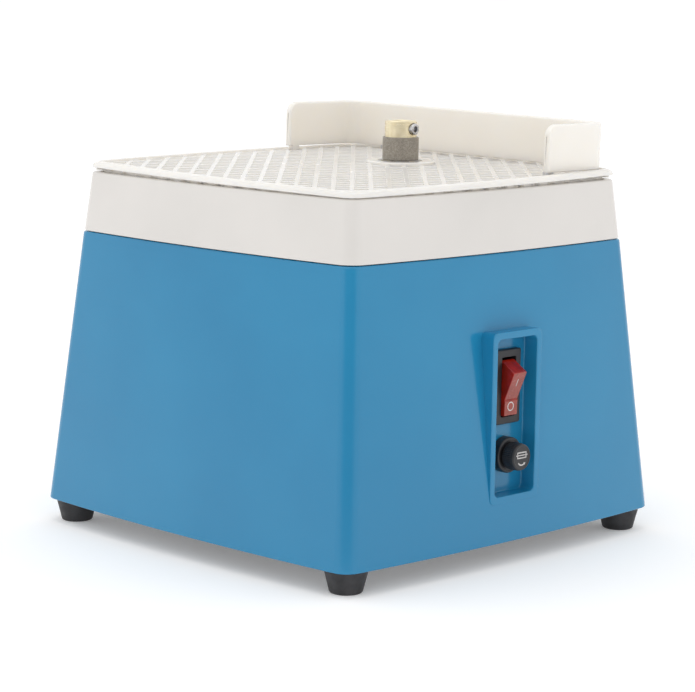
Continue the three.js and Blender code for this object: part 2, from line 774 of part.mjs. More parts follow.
function setScrew() {
  const outer = coreRadius + setScrewProud;
  const body = setScrewSolid(shaftRadius + pressPlay + 0.1, outer, setScrewRadius, roundSides);
  const hexRadius = hexAcrossFlats / Math.sqrt(3);
  return body.subtract(setScrewSolid(outer - 2, outer + 1, hexRadius, 6));
}

addPart('bit_core', bitCore(), 'brass');
addPart('diamond_sleeve', ring(0, spindleY, sleeveBase, sleeveBase + sleeveHeight,
  coreRadius + pressPlay, sleeveRadius, bitSides), 'diamond');
addPart('bit_set_screw', setScrew(), 'steel');

// ---------------------------------------------------------------- worktable and guard

function rimHalfAt(z) {
  const rise = THREE.MathUtils.clamp((z - rimBase) / rimHeight, 0, 1);
  return rimTopHalf + (rimHalf - rimTopHalf) * Math.sqrt(1 - rise * rise);
}

function gridHoles() {
  const size = gridPitch - gridBar;
  const holes = [];
  const count = Math.ceil((gridHalf * Math.SQRT2) / gridPitch);
  const keepOut = collarRadius + size * Math.SQRT1_2 + gridBar;
  for (let i = -count; i < count; i += 1) {
    for (let j = -count; j < count; j += 1) {
      const across = (i + 0.5) * gridPitch;
      const along = (j + 0.5) * gridPitch;
      const x = (across - along) * Math.SQRT1_2;
      const y = (across + along) * Math.SQRT1_2;
      const reach = size * Math.SQRT1_2;
      const inside = Math.max(Math.abs(x), Math.abs(y)) + reach < gridHalf;
      if (inside && Math.hypot(x, y - spindleY) > keepOut) {
        const hole = new THREE.BoxGeometry(size, size, gridThickness + 4);
        hole.rotateZ(Math.PI / 4).translate(x, y, (gridTop + gridUnder) / 2);
        holes.push(toSolid(hole));
      }
    }
  }
  return joined(holes);
}

// Each peg is [x, y, size along X, size along Y].
function guardPegs() {
  const line = guardHalf - guardThickness + pegThickness / 2;
  const left = guardHalf - leftWingLength + leftPegSetback + pegLength / 2;
  const right = guardHalf - rightWingLength + rightPegSetback + pegLength / 2;
  return [
    [-line, left, pegThickness, pegLength],
    [line, right, pegThickness, pegLength],
    [-rearPegSpacing / 2, line, pegLength, pegThickness],
    [rearPegSpacing / 2, line, pegLength, pegThickness],
  ];
}

function pegSolids(low, high, play) {
  return joined(guardPegs().map(([x, y, sizeX, sizeY]) => box(
    vector(x - sizeX / 2 - play, y - sizeY / 2 - play, low),
    vector(x + sizeX / 2 + play, y + sizeY / 2 + play, high),
  )));
}

function worktable() {
  const bow = tableBow;
  const radius = rimInnerRadius;
  let table = bowedSolid(rimBase, rimTop, rimHalfAt, { bow, steps: 4 });
  table = table.add(bowedSolid(neckBase, rimBase + 1, () => neckHalf, { bow }));
  table = table.subtract(bowedSolid(gridTop, rimTop + 1, () => rimInnerHalf, { bow, radius }));
  const inside = neckHalf - neckThickness;
  table = table.subtract(bowedSolid(neckBase - 1, gridUnder, () => inside, { bow, radius }));
  table = table.subtract(gridHoles());
  table = table.add(post(0, spindleY, gridUnder, collarTop, collarRadius, wideSides));
  table = table.subtract(post(0, spindleY, gridUnder - 1, collarTop + 1, bitHoleRadius, wideSides));
  return table.subtract(pegSolids(gridUnder - 1, gridTop + 1, pegPlay));
}

// Guard seen from above: a back wall and two wings, one wall thick.
function guardPlan() {
  const outer = guardHalf;
  const inner = guardHalf - guardThickness;
  const radius = guardCornerRadius;
  const innerRadius = Math.max(radius - guardThickness, 0.5);
  const leftEnd = guardHalf - leftWingLength;
  const rightEnd = guardHalf - rightWingLength;
  const shape = new THREE.Shape();
  shape.moveTo(-outer, leftEnd);
  shape.lineTo(-inner, leftEnd);
  shape.lineTo(-inner, inner - innerRadius);
  shape.absarc(-inner + innerRadius, inner - innerRadius, innerRadius, Math.PI, Math.PI / 2, true);
  shape.absarc(inner - innerRadius, inner - innerRadius, innerRadius, Math.PI / 2, 0, true);
  shape.lineTo(inner, rightEnd);
  shape.lineTo(outer, rightEnd);
  shape.absarc(outer - radius, outer - radius, radius, 0, Math.PI / 2);
  shape.absarc(-outer + radius, outer - radius, radius, Math.PI / 2, Math.PI);
  return shape;
}

// Side view of one wing with its upper front corner rounded, as a tool that keeps what it covers.
function wingTrim(frontY) {
  const radius = Math.min(guardEndRadius, guardHeight / 2);
  const top = guardBase + guardHeight;
  const shape = new THREE.Shape();
  shape.moveTo(frontY, guardBase - 1);
  shape.lineTo(frontY, top - radius);
  shape.absarc(frontY + radius, top - radius, radius, Math.PI, Math.PI / 2, true);
  shape.lineTo(guardHalf + 5, top);
  shape.lineTo(guardHalf + 5, guardBase - 1);
  const geometry = extrude(shape, guardHalf + 5, 6);
  return geometry.rotateX(Math.PI / 2).rotateZ(Math.PI / 2);
}

function splashGuard() {
  const plan = extrude(guardPlan(), guardHeight, 6).translate(0, 0, guardBase);
  const left = toSolid(wingTrim(guardHalf - leftWingLength).translate(-guardHalf - 5, 0, 0));
  const right = toSolid(wingTrim(guardHalf - rightWingLength));
  const wall = toSolid(plan).intersect(left.add(right));
  return wall.add(pegSolids(guardBase - pegDepth, guardBase + 1, 0))
    .translate([-guardHalf, -guardHalf, -guardBase])
    .rotate([guardTipForward, guardTipSideways, 0])
    .translate([guardHalf, guardHalf, guardBase]);
}

addPart('worktable', leaned(worktable()), 'whitePlastic');
addPart('splash_guard', leaned(splashGuard()), 'whitePlastic');

// ---------------------------------------------------------------- switch

function switchBody() {
  const back = floorPlane - switchBodyDepth;
  const pivotX = bezelFront - rockerPivotDepth;
  const seat = floorPlane + gap;
  let body = box(
    vector(seat, recessY - bezelWidth / 2, switchZ - bezelHeight / 2),
    vector(bezelFront, recessY + bezelWidth / 2, switchZ + bezelHeight / 2),
  );
  body = body.add(box(
    vector(back, recessY - switchBodyWidth / 2, switchZ - switchBodyHeight / 2),
    vector(seat + 0.5, recessY + switchBodyWidth / 2, switchZ + switchBodyHeight / 2),
  ));
  body = body.subtract(box(
    vector(back + switchWallBack, recessY - rockerWidth / 2 - gap, switchZ - rockerWindow / 2),
    vector(bezelFront + 1, recessY + rockerWidth / 2 + gap, switchZ + rockerWindow / 2),
  ));
  const socket = rockerWidth / 2 + trunnionLength + gap;
  return body.subtract(barY(pivotX, switchZ, recessY - socket, recessY + socket,
    trunnionRadius + gap));
}

function rocker() {
  const pivotX = bezelFront - rockerPivotDepth;
  const shape = new THREE.Shape();
  shape.moveTo(rockerFold, 0);
  shape.lineTo(rockerReach, rockerHalfSpan);
  shape.lineTo(rockerBack, rockerFlare);
  shape.lineTo(-rockerHeel, rockerHeelHalf);
  shape.lineTo(-rockerHeel, -rockerHeelHalf);
  shape.lineTo(rockerBack, -rockerFlare);
  shape.lineTo(rockerReach, -rockerHalfSpan);
  const body = extrude(shape, rockerWidth, 1);
  body.rotateX(Math.PI / 2).translate(0, rockerWidth / 2, 0).rotateY(rockerAngle);
  body.translate(pivotX, recessY, switchZ);
  const pin = rockerWidth / 2 + trunnionLength;
  return toSolid(body).add(barY(pivotX, switchZ, recessY - pin, recessY + pin, trunnionRadius));
}

addPart('switch_body', switchBody(), 'blackPlastic');
addPart('switch_rocker', rocker(), 'redPlastic');
for (let i = 0; i < 3; i += 1) {
  const z = switchZ + (i - 1) * terminalSpacing;
  const back = floorPlane - switchBodyDepth - gap;
  addPart(`switch_terminal_${i + 1}`, box(
    vector(back - terminalLength, recessY - terminalWidth / 2, z - terminalThickness / 2),
    vector(back, recessY + terminalWidth / 2, z + terminalThickness / 2),
  ), 'brass');
}

// ---------------------------------------------------------------- fuse holder

function fuseHolder() {
  const seat = floorPlane + gap;
  const front = seat + fuseFlangeThickness;
  const back = front - fuseBodyLength;
  const body = barX(recessY, fuseZ, seat, front, fuseFlangeRadius, wideSides)
    .add(barX(recessY, fuseZ, back, seat + 0.5, fuseBodyRadius));
  return body.subtract(barX(recessY, fuseZ, back + fuseBoreFloor, front + 1, fuseBoreRadius));
}

function fuseNut() {
  const front = floorPlane - recessFloor - gap;
  const back = front - fuseNutThickness;
  return barX(recessY, fuseZ, back, front, fuseNutRadius, 6)
    .subtract(barX(recessY, fuseZ, back - 1, front + 1, fuseBodyRadius + gap));
}

const fuseFront = floorPlane + gap + fuseFlangeThickness;
const capBase = fuseFront + gap;
addPart('fuse_holder', fuseHolder(), 'blackPlastic');
addPart('fuse_nut', fuseNut(), 'blackPlastic');
const stemEnd = capBase - fuseStemLength;
addPart('fuse_cap', barX(recessY, fuseZ, capBase, capBase + fuseCapLength, fuseCapRadius, wideSides)
  .add(barX(recessY, fuseZ, stemEnd, capBase + 1, fuseStemRadius)), 'blackPlastic');
addPart('fuse_link', barX(recessY, fuseZ, stemEnd - gap - fuseLength, stemEnd - gap, fuseRadius),
  'glass');

// ---------------------------------------------------------------- electrics

function capacitor() {
  const floor = housingBase + 2 * gap + basePlateThickness;
  const geometry = new THREE.CylinderGeometry(capacitorRadius, capacitorRadius, capacitorLength,
    wideSides);
  geometry.rotateZ(Math.PI / 2).translate(capacitorX, capacitorY, floor + capacitorRadius);
  return toSolid(geometry);
}

function terminalBlock() {
  const floor = housingBase + 2 * gap + basePlateThickness;
  const size = terminalBlockSize;
  const front = terminalBlockY - size.y / 2;
  const back = terminalBlockY + size.y / 2;
  let block = box(
    vector(terminalBlockX - size.x / 2, front, floor),
    vector(terminalBlockX + size.x / 2, back, floor + size.z),
  );
  for (let i = 0; i < terminalHoleCount; i += 1) {
    const x = terminalBlockX + (i - (terminalHoleCount - 1) / 2) * terminalHolePitch;
    block = block.subtract(barY(x, floor + size.z / 2, front - 1, back + 1, terminalHoleRadius));
  }
  return block;
}

addPart('run_capacitor', capacitor(), 'aluminium');
addPart('terminal_block', terminalBlock(), 'whitePlastic');

export default part;
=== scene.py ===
import bpy, bmesh, json, math
from mathutils import Matrix, Vector


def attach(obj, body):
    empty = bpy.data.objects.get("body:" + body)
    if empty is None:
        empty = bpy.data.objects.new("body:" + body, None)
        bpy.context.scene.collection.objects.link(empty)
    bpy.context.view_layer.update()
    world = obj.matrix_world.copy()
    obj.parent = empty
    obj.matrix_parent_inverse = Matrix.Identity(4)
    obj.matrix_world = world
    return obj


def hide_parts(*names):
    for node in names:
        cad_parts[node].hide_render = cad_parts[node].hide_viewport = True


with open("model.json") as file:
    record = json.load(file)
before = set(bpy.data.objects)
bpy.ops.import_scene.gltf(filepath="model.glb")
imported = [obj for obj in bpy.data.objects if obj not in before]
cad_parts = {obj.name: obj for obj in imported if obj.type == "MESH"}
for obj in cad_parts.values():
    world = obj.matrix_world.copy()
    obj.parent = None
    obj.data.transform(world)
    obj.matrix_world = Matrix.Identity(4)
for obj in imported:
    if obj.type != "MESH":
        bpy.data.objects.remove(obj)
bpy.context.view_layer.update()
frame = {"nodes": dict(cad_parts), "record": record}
mm = 0.001
seatGap = 0.3          # between pieces that sit on each other
print("frame loaded:", len(frame["nodes"]), "parts")


# ---- camera, floor and light

cameraView = {
    "position": (0.7440, -0.7424, 0.2444),
    "turn": 45.12,     # degrees round the upright axis
    "dip": 8.88,       # degrees below level
    "roll": 0.86,
    "lens": 124.5,
    "sensor": 36,
}


def makeCamera(look):
    turn, dip, roll = (math.radians(look[k]) for k in ("turn", "dip", "roll"))
    ahead = Vector((-math.sin(turn) * math.cos(dip), math.cos(turn) * math.cos(dip), -math.sin(dip)))
    side = Vector((math.cos(turn), math.sin(turn), 0))
    up = side.cross(ahead)
    right = side * math.cos(roll) + up * math.sin(roll)
    top = up * math.cos(roll) - side * math.sin(roll)
    data = bpy.data.cameras.new("camera")
    data.lens, data.sensor_width = look["lens"], look["sensor"]
    data.clip_start, data.clip_end = 0.02, 40
    camera = bpy.data.objects.new("camera", data)
    turned = Matrix((right, top, -ahead)).transposed().to_4x4()
    camera.matrix_world = Matrix.Translation(look["position"]) @ turned
    bpy.context.scene.collection.objects.link(camera)
    bpy.context.scene.camera = camera


def addNode(tree, kind, settings=None, **inputs):
    node = tree.nodes.new(kind)
    for key, value in (settings or {}).items():
        setattr(node, key, value)
    for key, value in inputs.items():
        node.inputs[key.replace("_", " ")].default_value = value
    return node


studio = {
    "sky": 1.02,
    "shade": 0.3,                # brightness of the side of the studio where the camera stands
    "shadeTowards": (0.70, -0.70, 0.12),
    "shadeEdge": (0.62, 0.97),
    "topLight": dict(power=3.0, size=1.6, place=(-0.25, -0.35, 1.5), inGloss=True),
    "frontLight": dict(power=4.6, size=1.5, place=(1.3, -1.45, 0.75), inGloss=False),
    "floorSize": 30,
    "floorColor": (0.93, 0.93, 0.93, 1),
    "floorGlow": 0.16,
}


def makeStudio(look):
    scene = bpy.context.scene
    world = bpy.data.worlds.new("studio")
    scene.world = world
    world.use_nodes = True
    tree = world.node_tree
    tree.nodes.clear()
    out = addNode(tree, "ShaderNodeOutputWorld")
    sky = addNode(tree, "ShaderNodeBackground", Color=(1, 1, 1, 1))
    place = addNode(tree, "ShaderNodeTexCoord")
    facing = addNode(tree, "ShaderNodeVectorMath", {"operation": "DOT_PRODUCT"})
    facing.inputs[1].default_value = look["shadeTowards"]
    low, high = look["shadeEdge"]
    ramp = addNode(tree, "ShaderNodeMapRange", {"interpolation_type": "SMOOTHSTEP"},
                   From_Min=low, From_Max=high, To_Min=look["sky"], To_Max=look["shade"])
    tree.links.new(place.outputs["Generated"], facing.inputs[0])
    tree.links.new(facing.outputs["Value"], ramp.inputs["Value"])
    tree.links.new(ramp.outputs["Result"], sky.inputs["Strength"])
    tree.links.new(sky.outputs["Background"], out.inputs["Surface"])

    for name in ("topLight", "frontLight"):
        lamp = bpy.data.lights.new(name, "AREA")
        lamp.shape, lamp.size, lamp.energy = "DISK", look[name]["size"], look[name]["power"]
        holder = bpy.data.objects.new(name, lamp)
        holder.location = look[name]["place"]
        holder.rotation_euler = (holder.location - Vector((0, 0, 0.1))).to_track_quat("Z", "Y").to_euler()
        holder.visible_glossy = look[name]["inGloss"]
        scene.collection.objects.link(holder)

    half = look["floorSize"] / 2
    sheet = bpy.data.meshes.new("floor")
    corners = [(-half, -half, 0), (half, -half, 0), (half, half, 0), (-half, half, 0)]
    sheet.from_pydata(corners, [], [(0, 1, 2, 3)])
    floor = bpy.data.objects.new("floor", sheet)
    scene.collection.objects.link(floor)
    paper = bpy.data.materials.new("floorPaper")
    paper.use_nodes = True
    shader = paper.node_tree.nodes["Principled BSDF"]
    shader.inputs["Base Color"].default_value = look["floorColor"]
    shader.inputs["Roughness"].default_value = 0.9
    shader.inputs["Specular IOR Level"].default_value = 0.1
    shader.inputs["Emission Color"].default_value = (1, 1, 1, 1)
    shader.inputs["Emission Strength"].default_value = look["floorGlow"]
    sheet.materials.append(paper)
    scene.view_settings.view_transform = "Standard"


makeCamera(cameraView)
makeStudio(studio)
print("camera, floor and light are set")


# ---- finishes
# color and shade are the two tones that a surface drifts between, drift and grain how fine tone and
# bump are per metre, depth the height of the bump in metres, stretch the way that a brushed grain runs

finishes = {
    "bluePlastic": dict(color=(0.017, 0.232, 0.435), shade=(0.013, 0.210, 0.405), drift=14,
                        rough=(0.13, 0.19), grain=1500, depth=0.000012, bump=0.12, edge=0.25),
    "whitePlastic": dict(color=(0.735, 0.705, 0.675), shade=(0.69, 0.665, 0.635), drift=16,
                         rough=(0.17, 0.25), grain=1700, depth=0.000012, bump=0.12, edge=0.2),
    # the white plastic again, painted lighter and warmer as painted bounce light and glow on the table and
    # guard; it also scatters light under its surface
    "ivoryPlastic": dict(color=(0.89, 0.845, 0.785), shade=(0.85, 0.805, 0.745), drift=16, rough=(0.2, 0.28),
                         grain=1700, depth=0.000012, bump=0.12, edge=0.2, soft=0.6, softDepth=0.009),
    "blackPlastic": dict(color=(0.022, 0.022, 0.025), shade=(0.012, 0.012, 0.014), drift=90,
                         rough=(0.32, 0.45), grain=5200, depth=0.00002, bump=0.25, edge=0.5),
    "rubber": dict(color=(0.034, 0.033, 0.036), shade=(0.018, 0.018, 0.020), drift=160, rough=(0.5, 0.7),
                   grain=3600, depth=0.00004, bump=0.3, edge=0.6),
    "darkSteel": dict(color=(0.30, 0.305, 0.315), shade=(0.21, 0.215, 0.225), drift=60, rough=(0.35, 0.5),
                      metal=1, grain=2200, depth=0.00001, bump=0.25, stretch=(1, 14, 1), edge=0.4),
    "steel": dict(color=(0.66, 0.66, 0.67), shade=(0.50, 0.50, 0.52), drift=220, rough=(0.2, 0.34), metal=1,
                  grain=4200, depth=0.00001, bump=0.2, stretch=(1, 1, 9), edge=0.4),
    "aluminium": dict(color=(0.58, 0.59, 0.60), shade=(0.46, 0.47, 0.48), drift=70,
                      rough=(0.4, 0.55), metal=1, grain=2600, depth=0.00003, bump=0.35, edge=0.4),
    "copper": dict(color=(0.60, 0.23, 0.10), shade=(0.42, 0.13, 0.05), drift=160, rough=(0.3, 0.42), metal=1,
                   grain=900, depth=0.00008, bump=0.5, stretch=(1, 1, 5), edge=0.2),
    "brass": dict(color=(0.84, 0.74, 0.53), shade=(0.72, 0.61, 0.40), drift=260, rough=(0.24, 0.36), metal=1,
                  grain=3000, depth=0.000012, bump=0.3, stretch=(0.06, 0.06, 3), edge=0.5),
    "glass": dict(color=(0.86, 0.90, 0.90), shade=(0.80, 0.85, 0.86), drift=80, rough=(0.03, 0.08),
                  grain=900, depth=0.000005, bump=0.1, edge=0, transmission=0.85),
    "redPlastic": dict(color=(0.40, 0.016, 0.006), shade=(0.24, 0.010, 0.004), drift=240, rough=(0.14, 0.22),
                       grain=2600, depth=0.00001, bump=0.1, edge=0.5),
    "redFace": dict(color=(0.33, 0.062, 0.044), shade=(0.27, 0.048, 0.034), drift=260, rough=(0.2, 0.3),
                    grain=3400, depth=0.00001, bump=0.15, edge=0.3),
    "markPaint": dict(color=(0.66, 0.64, 0.62), shade=(0.50, 0.48, 0.47), drift=900, rough=(0.4, 0.5),
                      grain=5200, depth=0.00001, bump=0.2, edge=0),
}


def makeFinish(name, look):
    material = bpy.data.materials.new(name)
    material.use_nodes = True
    tree = material.node_tree
    link = tree.links.new
    shader = tree.nodes["Principled BSDF"]
    shader.inputs["Metallic"].default_value = look.get("metal", 0)
    if "transmission" in look:
        shader.inputs["Transmission Weight"].default_value = look["transmission"]
    if "soft" in look:
        shader.inputs["Subsurface Weight"].default_value = look["soft"]
        shader.inputs["Subsurface Radius"].default_value = (1.0, 0.9, 0.75)
        shader.inputs["Subsurface Scale"].default_value = look["softDepth"]
    place = addNode(tree, "ShaderNodeTexCoord").outputs["Object"]
    brushed = addNode(tree, "ShaderNodeMapping", Scale=look.get("stretch", (1, 1, 1)))
    link(place, brushed.inputs["Vector"])

    # tone drifts slowly over the surface, and grains of it show close up
    drift = addNode(tree, "ShaderNodeTexNoise", Scale=look["drift"], Detail=3)
    link(place, drift.inputs["Vector"])
    tone = addNode(tree, "ShaderNodeMapRange", From_Min=0.35, From_Max=0.65)
    link(drift.outputs["Fac"], tone.inputs["Value"])
    body = addNode(tree, "ShaderNodeMix", {"data_type": "RGBA"})
    body.inputs[6].default_value = (*look["color"], 1)
    body.inputs[7].default_value = (*look["shade"], 1)
    link(tone.outputs["Result"], body.inputs[0])

    # edges are rubbed a little lighter
    ridge = addNode(tree, "ShaderNodeNewGeometry")
    worn = addNode(tree, "ShaderNodeMapRange", From_Min=0.52, From_Max=0.62, To_Max=look["edge"])
    link(ridge.outputs["Pointiness"], worn.inputs["Value"])
    rubbed = addNode(tree, "ShaderNodeMix", {"data_type": "RGBA"})
    rubbed.inputs[7].default_value = (*(min(1, 1.25 * c + 0.02) for c in look["color"]), 1)
    link(worn.outputs["Result"], rubbed.inputs[0])
    link(body.outputs[2], rubbed.inputs[6])
    link(rubbed.outputs[2], shader.inputs["Base Color"])

    haze = addNode(tree, "ShaderNodeTexNoise", Scale=look["drift"] * 2.3, Detail=4)
    link(brushed.outputs["Vector"], haze.inputs["Vector"])
    gloss = addNode(tree, "ShaderNodeMapRange", From_Min=0.3, From_Max=0.7,
                    To_Min=look["rough"][0], To_Max=look["rough"][1])
    link(haze.outputs["Fac"], gloss.inputs["Value"])
    link(gloss.outputs["Result"], shader.inputs["Roughness"])

    grain = addNode(tree, "ShaderNodeTexNoise", Scale=look["grain"], Detail=2)
    link(brushed.outputs["Vector"], grain.inputs["Vector"])
    bump = addNode(tree, "ShaderNodeBump", Strength=look["bump"], Distance=look["depth"])
    link(grain.outputs["Fac"], bump.inputs["Height"])
    link(bump.outputs["Normal"], shader.inputs["Normal"])
    return material


# Crushed diamond in a nickel bond: grains of several greys, each standing proud.
diamondGrit = {
    "tones": [(0.0, (0.19, 0.17, 0.145)), (0.45, (0.33, 0.30, 0.255)), (0.8, (0.43, 0.395, 0.345)),
              (1.0, (0.66, 0.62, 0.56))],
    "grainSize": 3400,
    "patchSize": 420,
    "depth": 0.00012,
}


def makeGrit(look):
    material = bpy.data.materials.new("diamondGrit")
    material.use_nodes = True
    tree = material.node_tree
    link = tree.links.new
    shader = tree.nodes["Principled BSDF"]
    shader.inputs["Metallic"].default_value = 0.35
    place = addNode(tree, "ShaderNodeTexCoord").outputs["Object"]
    grains = addNode(tree, "ShaderNodeTexVoronoi", Scale=look["grainSize"])
    link(place, grains.inputs["Vector"])
    patches = addNode(tree, "ShaderNodeTexNoise", Scale=look["patchSize"], Detail=4)
    link(place, patches.inputs["Vector"])
    single = addNode(tree, "ShaderNodeSeparateColor")
    link(grains.outputs["Color"], single.inputs["Color"])
    both = addNode(tree, "ShaderNodeMix", Factor=0.45)
    link(single.outputs["Red"], both.inputs[2])
    link(patches.outputs["Fac"], both.inputs[3])
    ramp = addNode(tree, "ShaderNodeValToRGB")
    stops = ramp.color_ramp.elements
    while len(stops) < len(look["tones"]):
        stops.new(0.5)
    for stop, (at, color) in zip(stops, look["tones"]):
        stop.position, stop.color = at, (*color, 1)
    link(both.outputs[0], ramp.inputs["Fac"])
    link(ramp.outputs["Color"], shader.inputs["Base Color"])
    sheen = addNode(tree, "ShaderNodeMapRange", To_Min=0.75, To_Max=0.35)
    link(single.outputs["Green"], sheen.inputs["Value"])
    link(sheen.outputs["Result"], shader.inputs["Roughness"])
    bump = addNode(tree, "ShaderNodeBump", Strength=0.9, Distance=look["depth"])
    link(grains.outputs["Distance"], bump.inputs["Height"])
    link(bump.outputs["Normal"], shader.inputs["Normal"])
    return material


finish = {name: makeFinish(name, look) for name, look in finishes.items()}
finish["diamondGrit"] = makeGrit(diamondGrit)
slotFinish = {
    "blue_plastic": "bluePlastic", "white_plastic": "whitePlastic", "black_plastic": "blackPlastic",
    "rubber": "rubber", "dark_steel": "darkSteel", "steel": "steel", "aluminium": "aluminium",
    "copper": "copper", "brass": "brass", "diamond": "diamondGrit", "red_plastic": "redPlastic",
    "glass": "glass",
}
nodeSlot = {row["node"]: row["material_slot"] for row in frame["record"]["subparts"]}
for nodeName, node in frame["nodes"].items():
    node.data.materials.clear()
    node.data.materials.append(finish[slotFinish[nodeSlot[nodeName]]])
print("finishes are mixed and on every kept part")


# ---- shared shapes and tools, in millimetres until a piece is placed

# Square with bowed sides and round corners, as (x, y) points from the low end of the +X side.
def bowedOutline(half, radius, bow, sideSteps=24, cornerSteps=10):
    edge = half - radius
    lean = math.atan2(2 * bow, edge)
    r = radius / (math.cos(lean) - math.sin(lean))
    middle = half - r * math.cos(lean)
    quarter = []
    for i in range(sideSteps):
        u = 2 * i / sideSteps - 1
        quarter.append((half + bow * (1 - u * u), edge * u))
    for i in range(cornerSteps):
        a = lean + (math.pi / 2 - 2 * lean) * i / cornerSteps
        quarter.append((middle + r * math.cos(a), middle + r * math.sin(a)))
    points = []
    for _ in range(4):
        points += quarter
        quarter = [(-y, x) for x, y in quarter]
    return points


# Rounded rectangle as points from its lower left corner's middle, with steps[0] on each short side.
def roundedOutline(width, height, radius, steps, arc):
    points = []
    for side in range(4):
        across, along = (width, height) if side % 2 == 0 else (height, width)
        straight = across / 2 - radius
        n = steps[side % 2]
        row = []
        for i in range(arc):
            a = math.pi / 4 * (1 - i / arc)
            row.append((-straight - radius * math.sin(a), -along / 2 + radius * (1 - math.cos(a))))
        flat = n - 2 * arc
        for i in range(flat):
            row.append((-straight + 2 * straight * i / flat, -along / 2))
        for i in range(arc):
            a = math.pi / 4 * i / arc
            row.append((straight + radius * math.sin(a), -along / 2 + radius * (1 - math.cos(a))))
        for x, y in row:
            for _ in range(side):
                x, y = -y, x
            points.append((x, y))
    return points


def circle(radius, count):
    angles = [2 * math.pi * i / count for i in range(count)]
    return [(radius * math.cos(a), radius * math.sin(a)) for a in angles]


# Angles from 0 to a right angle, for round edges.
def quarterTurn(steps):
    return [math.pi / 2 * i / steps for i in range(steps + 1)]


def at(points, z, x=0.0, y=0.0):
    return [(px + x, py + y, z) for px, py in points]


# Adds a skin through rings of points to a mesh being built, and closes its ends if asked.
def skin(bm, rings, closeFirst=False, closeLast=False):
    made = [[bm.verts.new(p) for p in ring] for ring in rings]
    for low, high in zip(made, made[1:]):
        n = len(low)
        for i in range(n):
            j = (i + 1) % n
            bm.faces.new((low[i], low[j], high[j], high[i]))
    if closeFirst:
        bm.faces.new(made[0][::-1])
    if closeLast:
        bm.faces.new(made[-1])
    return made


def joinDoubles(bm, distance=0.002):
    bmesh.ops.remove_doubles(bm, verts=bm.verts, dist=distance)
    bmesh.ops.recalc_face_normals(bm, faces=bm.faces)


def turnedRings(profile, count=96, x=0.0, y=0.0):
    return [at(circle(radius, count), z, x, y) for radius, z in profile]


def looseObject(name, bm, material):
    mesh = bpy.data.meshes.new(name)
    bm.to_mesh(mesh)
    bm.free()
    mesh.materials.append(finish[material])
    piece = bpy.data.objects.new(name, mesh)
    bpy.context.scene.collection.objects.link(piece)
    return piece


# Loose object from rings of points, its doubled points merged.
def skinned(name, material, rings, closed=False, distance=0.002):
    bm = bmesh.new()
    skin(bm, rings, closed, closed)
    joinDoubles(bm, distance)
    return looseObject(name, bm, material)


# Cuts or joins another closed mesh, which is used up.
def combine(piece, other, how):
    modifier = piece.modifiers.new("combine", "BOOLEAN")
    modifier.operation, modifier.object, modifier.solver = how, other, "MANIFOLD"
    keepEvaluated(piece)
    bpy.data.objects.remove(other)


def keepEvaluated(piece):
    bpy.context.view_layer.update()
    graph = bpy.context.evaluated_depsgraph_get()
    mesh = bpy.data.meshes.new_from_object(piece.evaluated_get(graph))
    piece.modifiers.clear()
    old = piece.data
    piece.data = mesh
    mesh.name = piece.name
    if old.users == 0:
        bpy.data.meshes.remove(old)


# Gives a finished mesh its scale, shading and body, and hides the parts that it stands for.
def placePiece(piece, body, replaced=(), sharp=32):
    piece.data.transform(Matrix.Scale(mm, 4))
    piece.data.polygons.foreach_set("use_smooth", [True] * len(piece.data.polygons))
    piece.data.set_sharp_from_angle(angle=math.radians(sharp))
    even = piece.modifiers.new("evenShading", "WEIGHTED_NORMAL")
    even.keep_sharp, even.weight = True, 70
    keepEvaluated(piece)
    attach(piece, body)
    if replaced:
        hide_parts(*replaced)
    return piece


# ---- Geometry Nodes helpers

def startTree(name, inputs):
    tree = bpy.data.node_groups.new(name, "GeometryNodeTree")
    tree.interface.new_socket(name="Geometry", in_out="INPUT", socket_type="NodeSocketGeometry")
    kinds = {float: "NodeSocketFloat", int: "NodeSocketInt", tuple: "NodeSocketVector"}
    names = {}
    for label, value in inputs.items():
        kind = kinds.get(type(value), "NodeSocketObject")
        names[label] = tree.interface.new_socket(name=label, in_out="INPUT", socket_type=kind).identifier
    tree.interface.new_socket(name="Geometry", in_out="OUTPUT", socket_type="NodeSocketGeometry")
    return tree, names


# Every tree ends the same way: real geometry with the piece's own finish.
def endTree(tree, geometry, material):
    real = addNode(tree, "GeometryNodeRealizeInstances")
    painted = addNode(tree, "GeometryNodeSetMaterial", Material=finish[material])
    out = addNode(tree, "NodeGroupOutput")
    tree.links.new(geometry, real.inputs[0])
    tree.links.new(real.outputs[0], painted.inputs["Geometry"])
    tree.links.new(painted.outputs["Geometry"], out.inputs[0])


def runTree(piece, tree, names, values):
    modifier = piece.modifiers.new(tree.name, "NODES")
    modifier.node_group = tree
    for label, value in values.items():
        modifier[names[label]] = value
    keepEvaluated(piece)
    bm = bmesh.new()
    bm.from_mesh(piece.data)
    bmesh.ops.recalc_face_normals(bm, faces=bm.faces)
    bm.to_mesh(piece.data)
    bm.free()


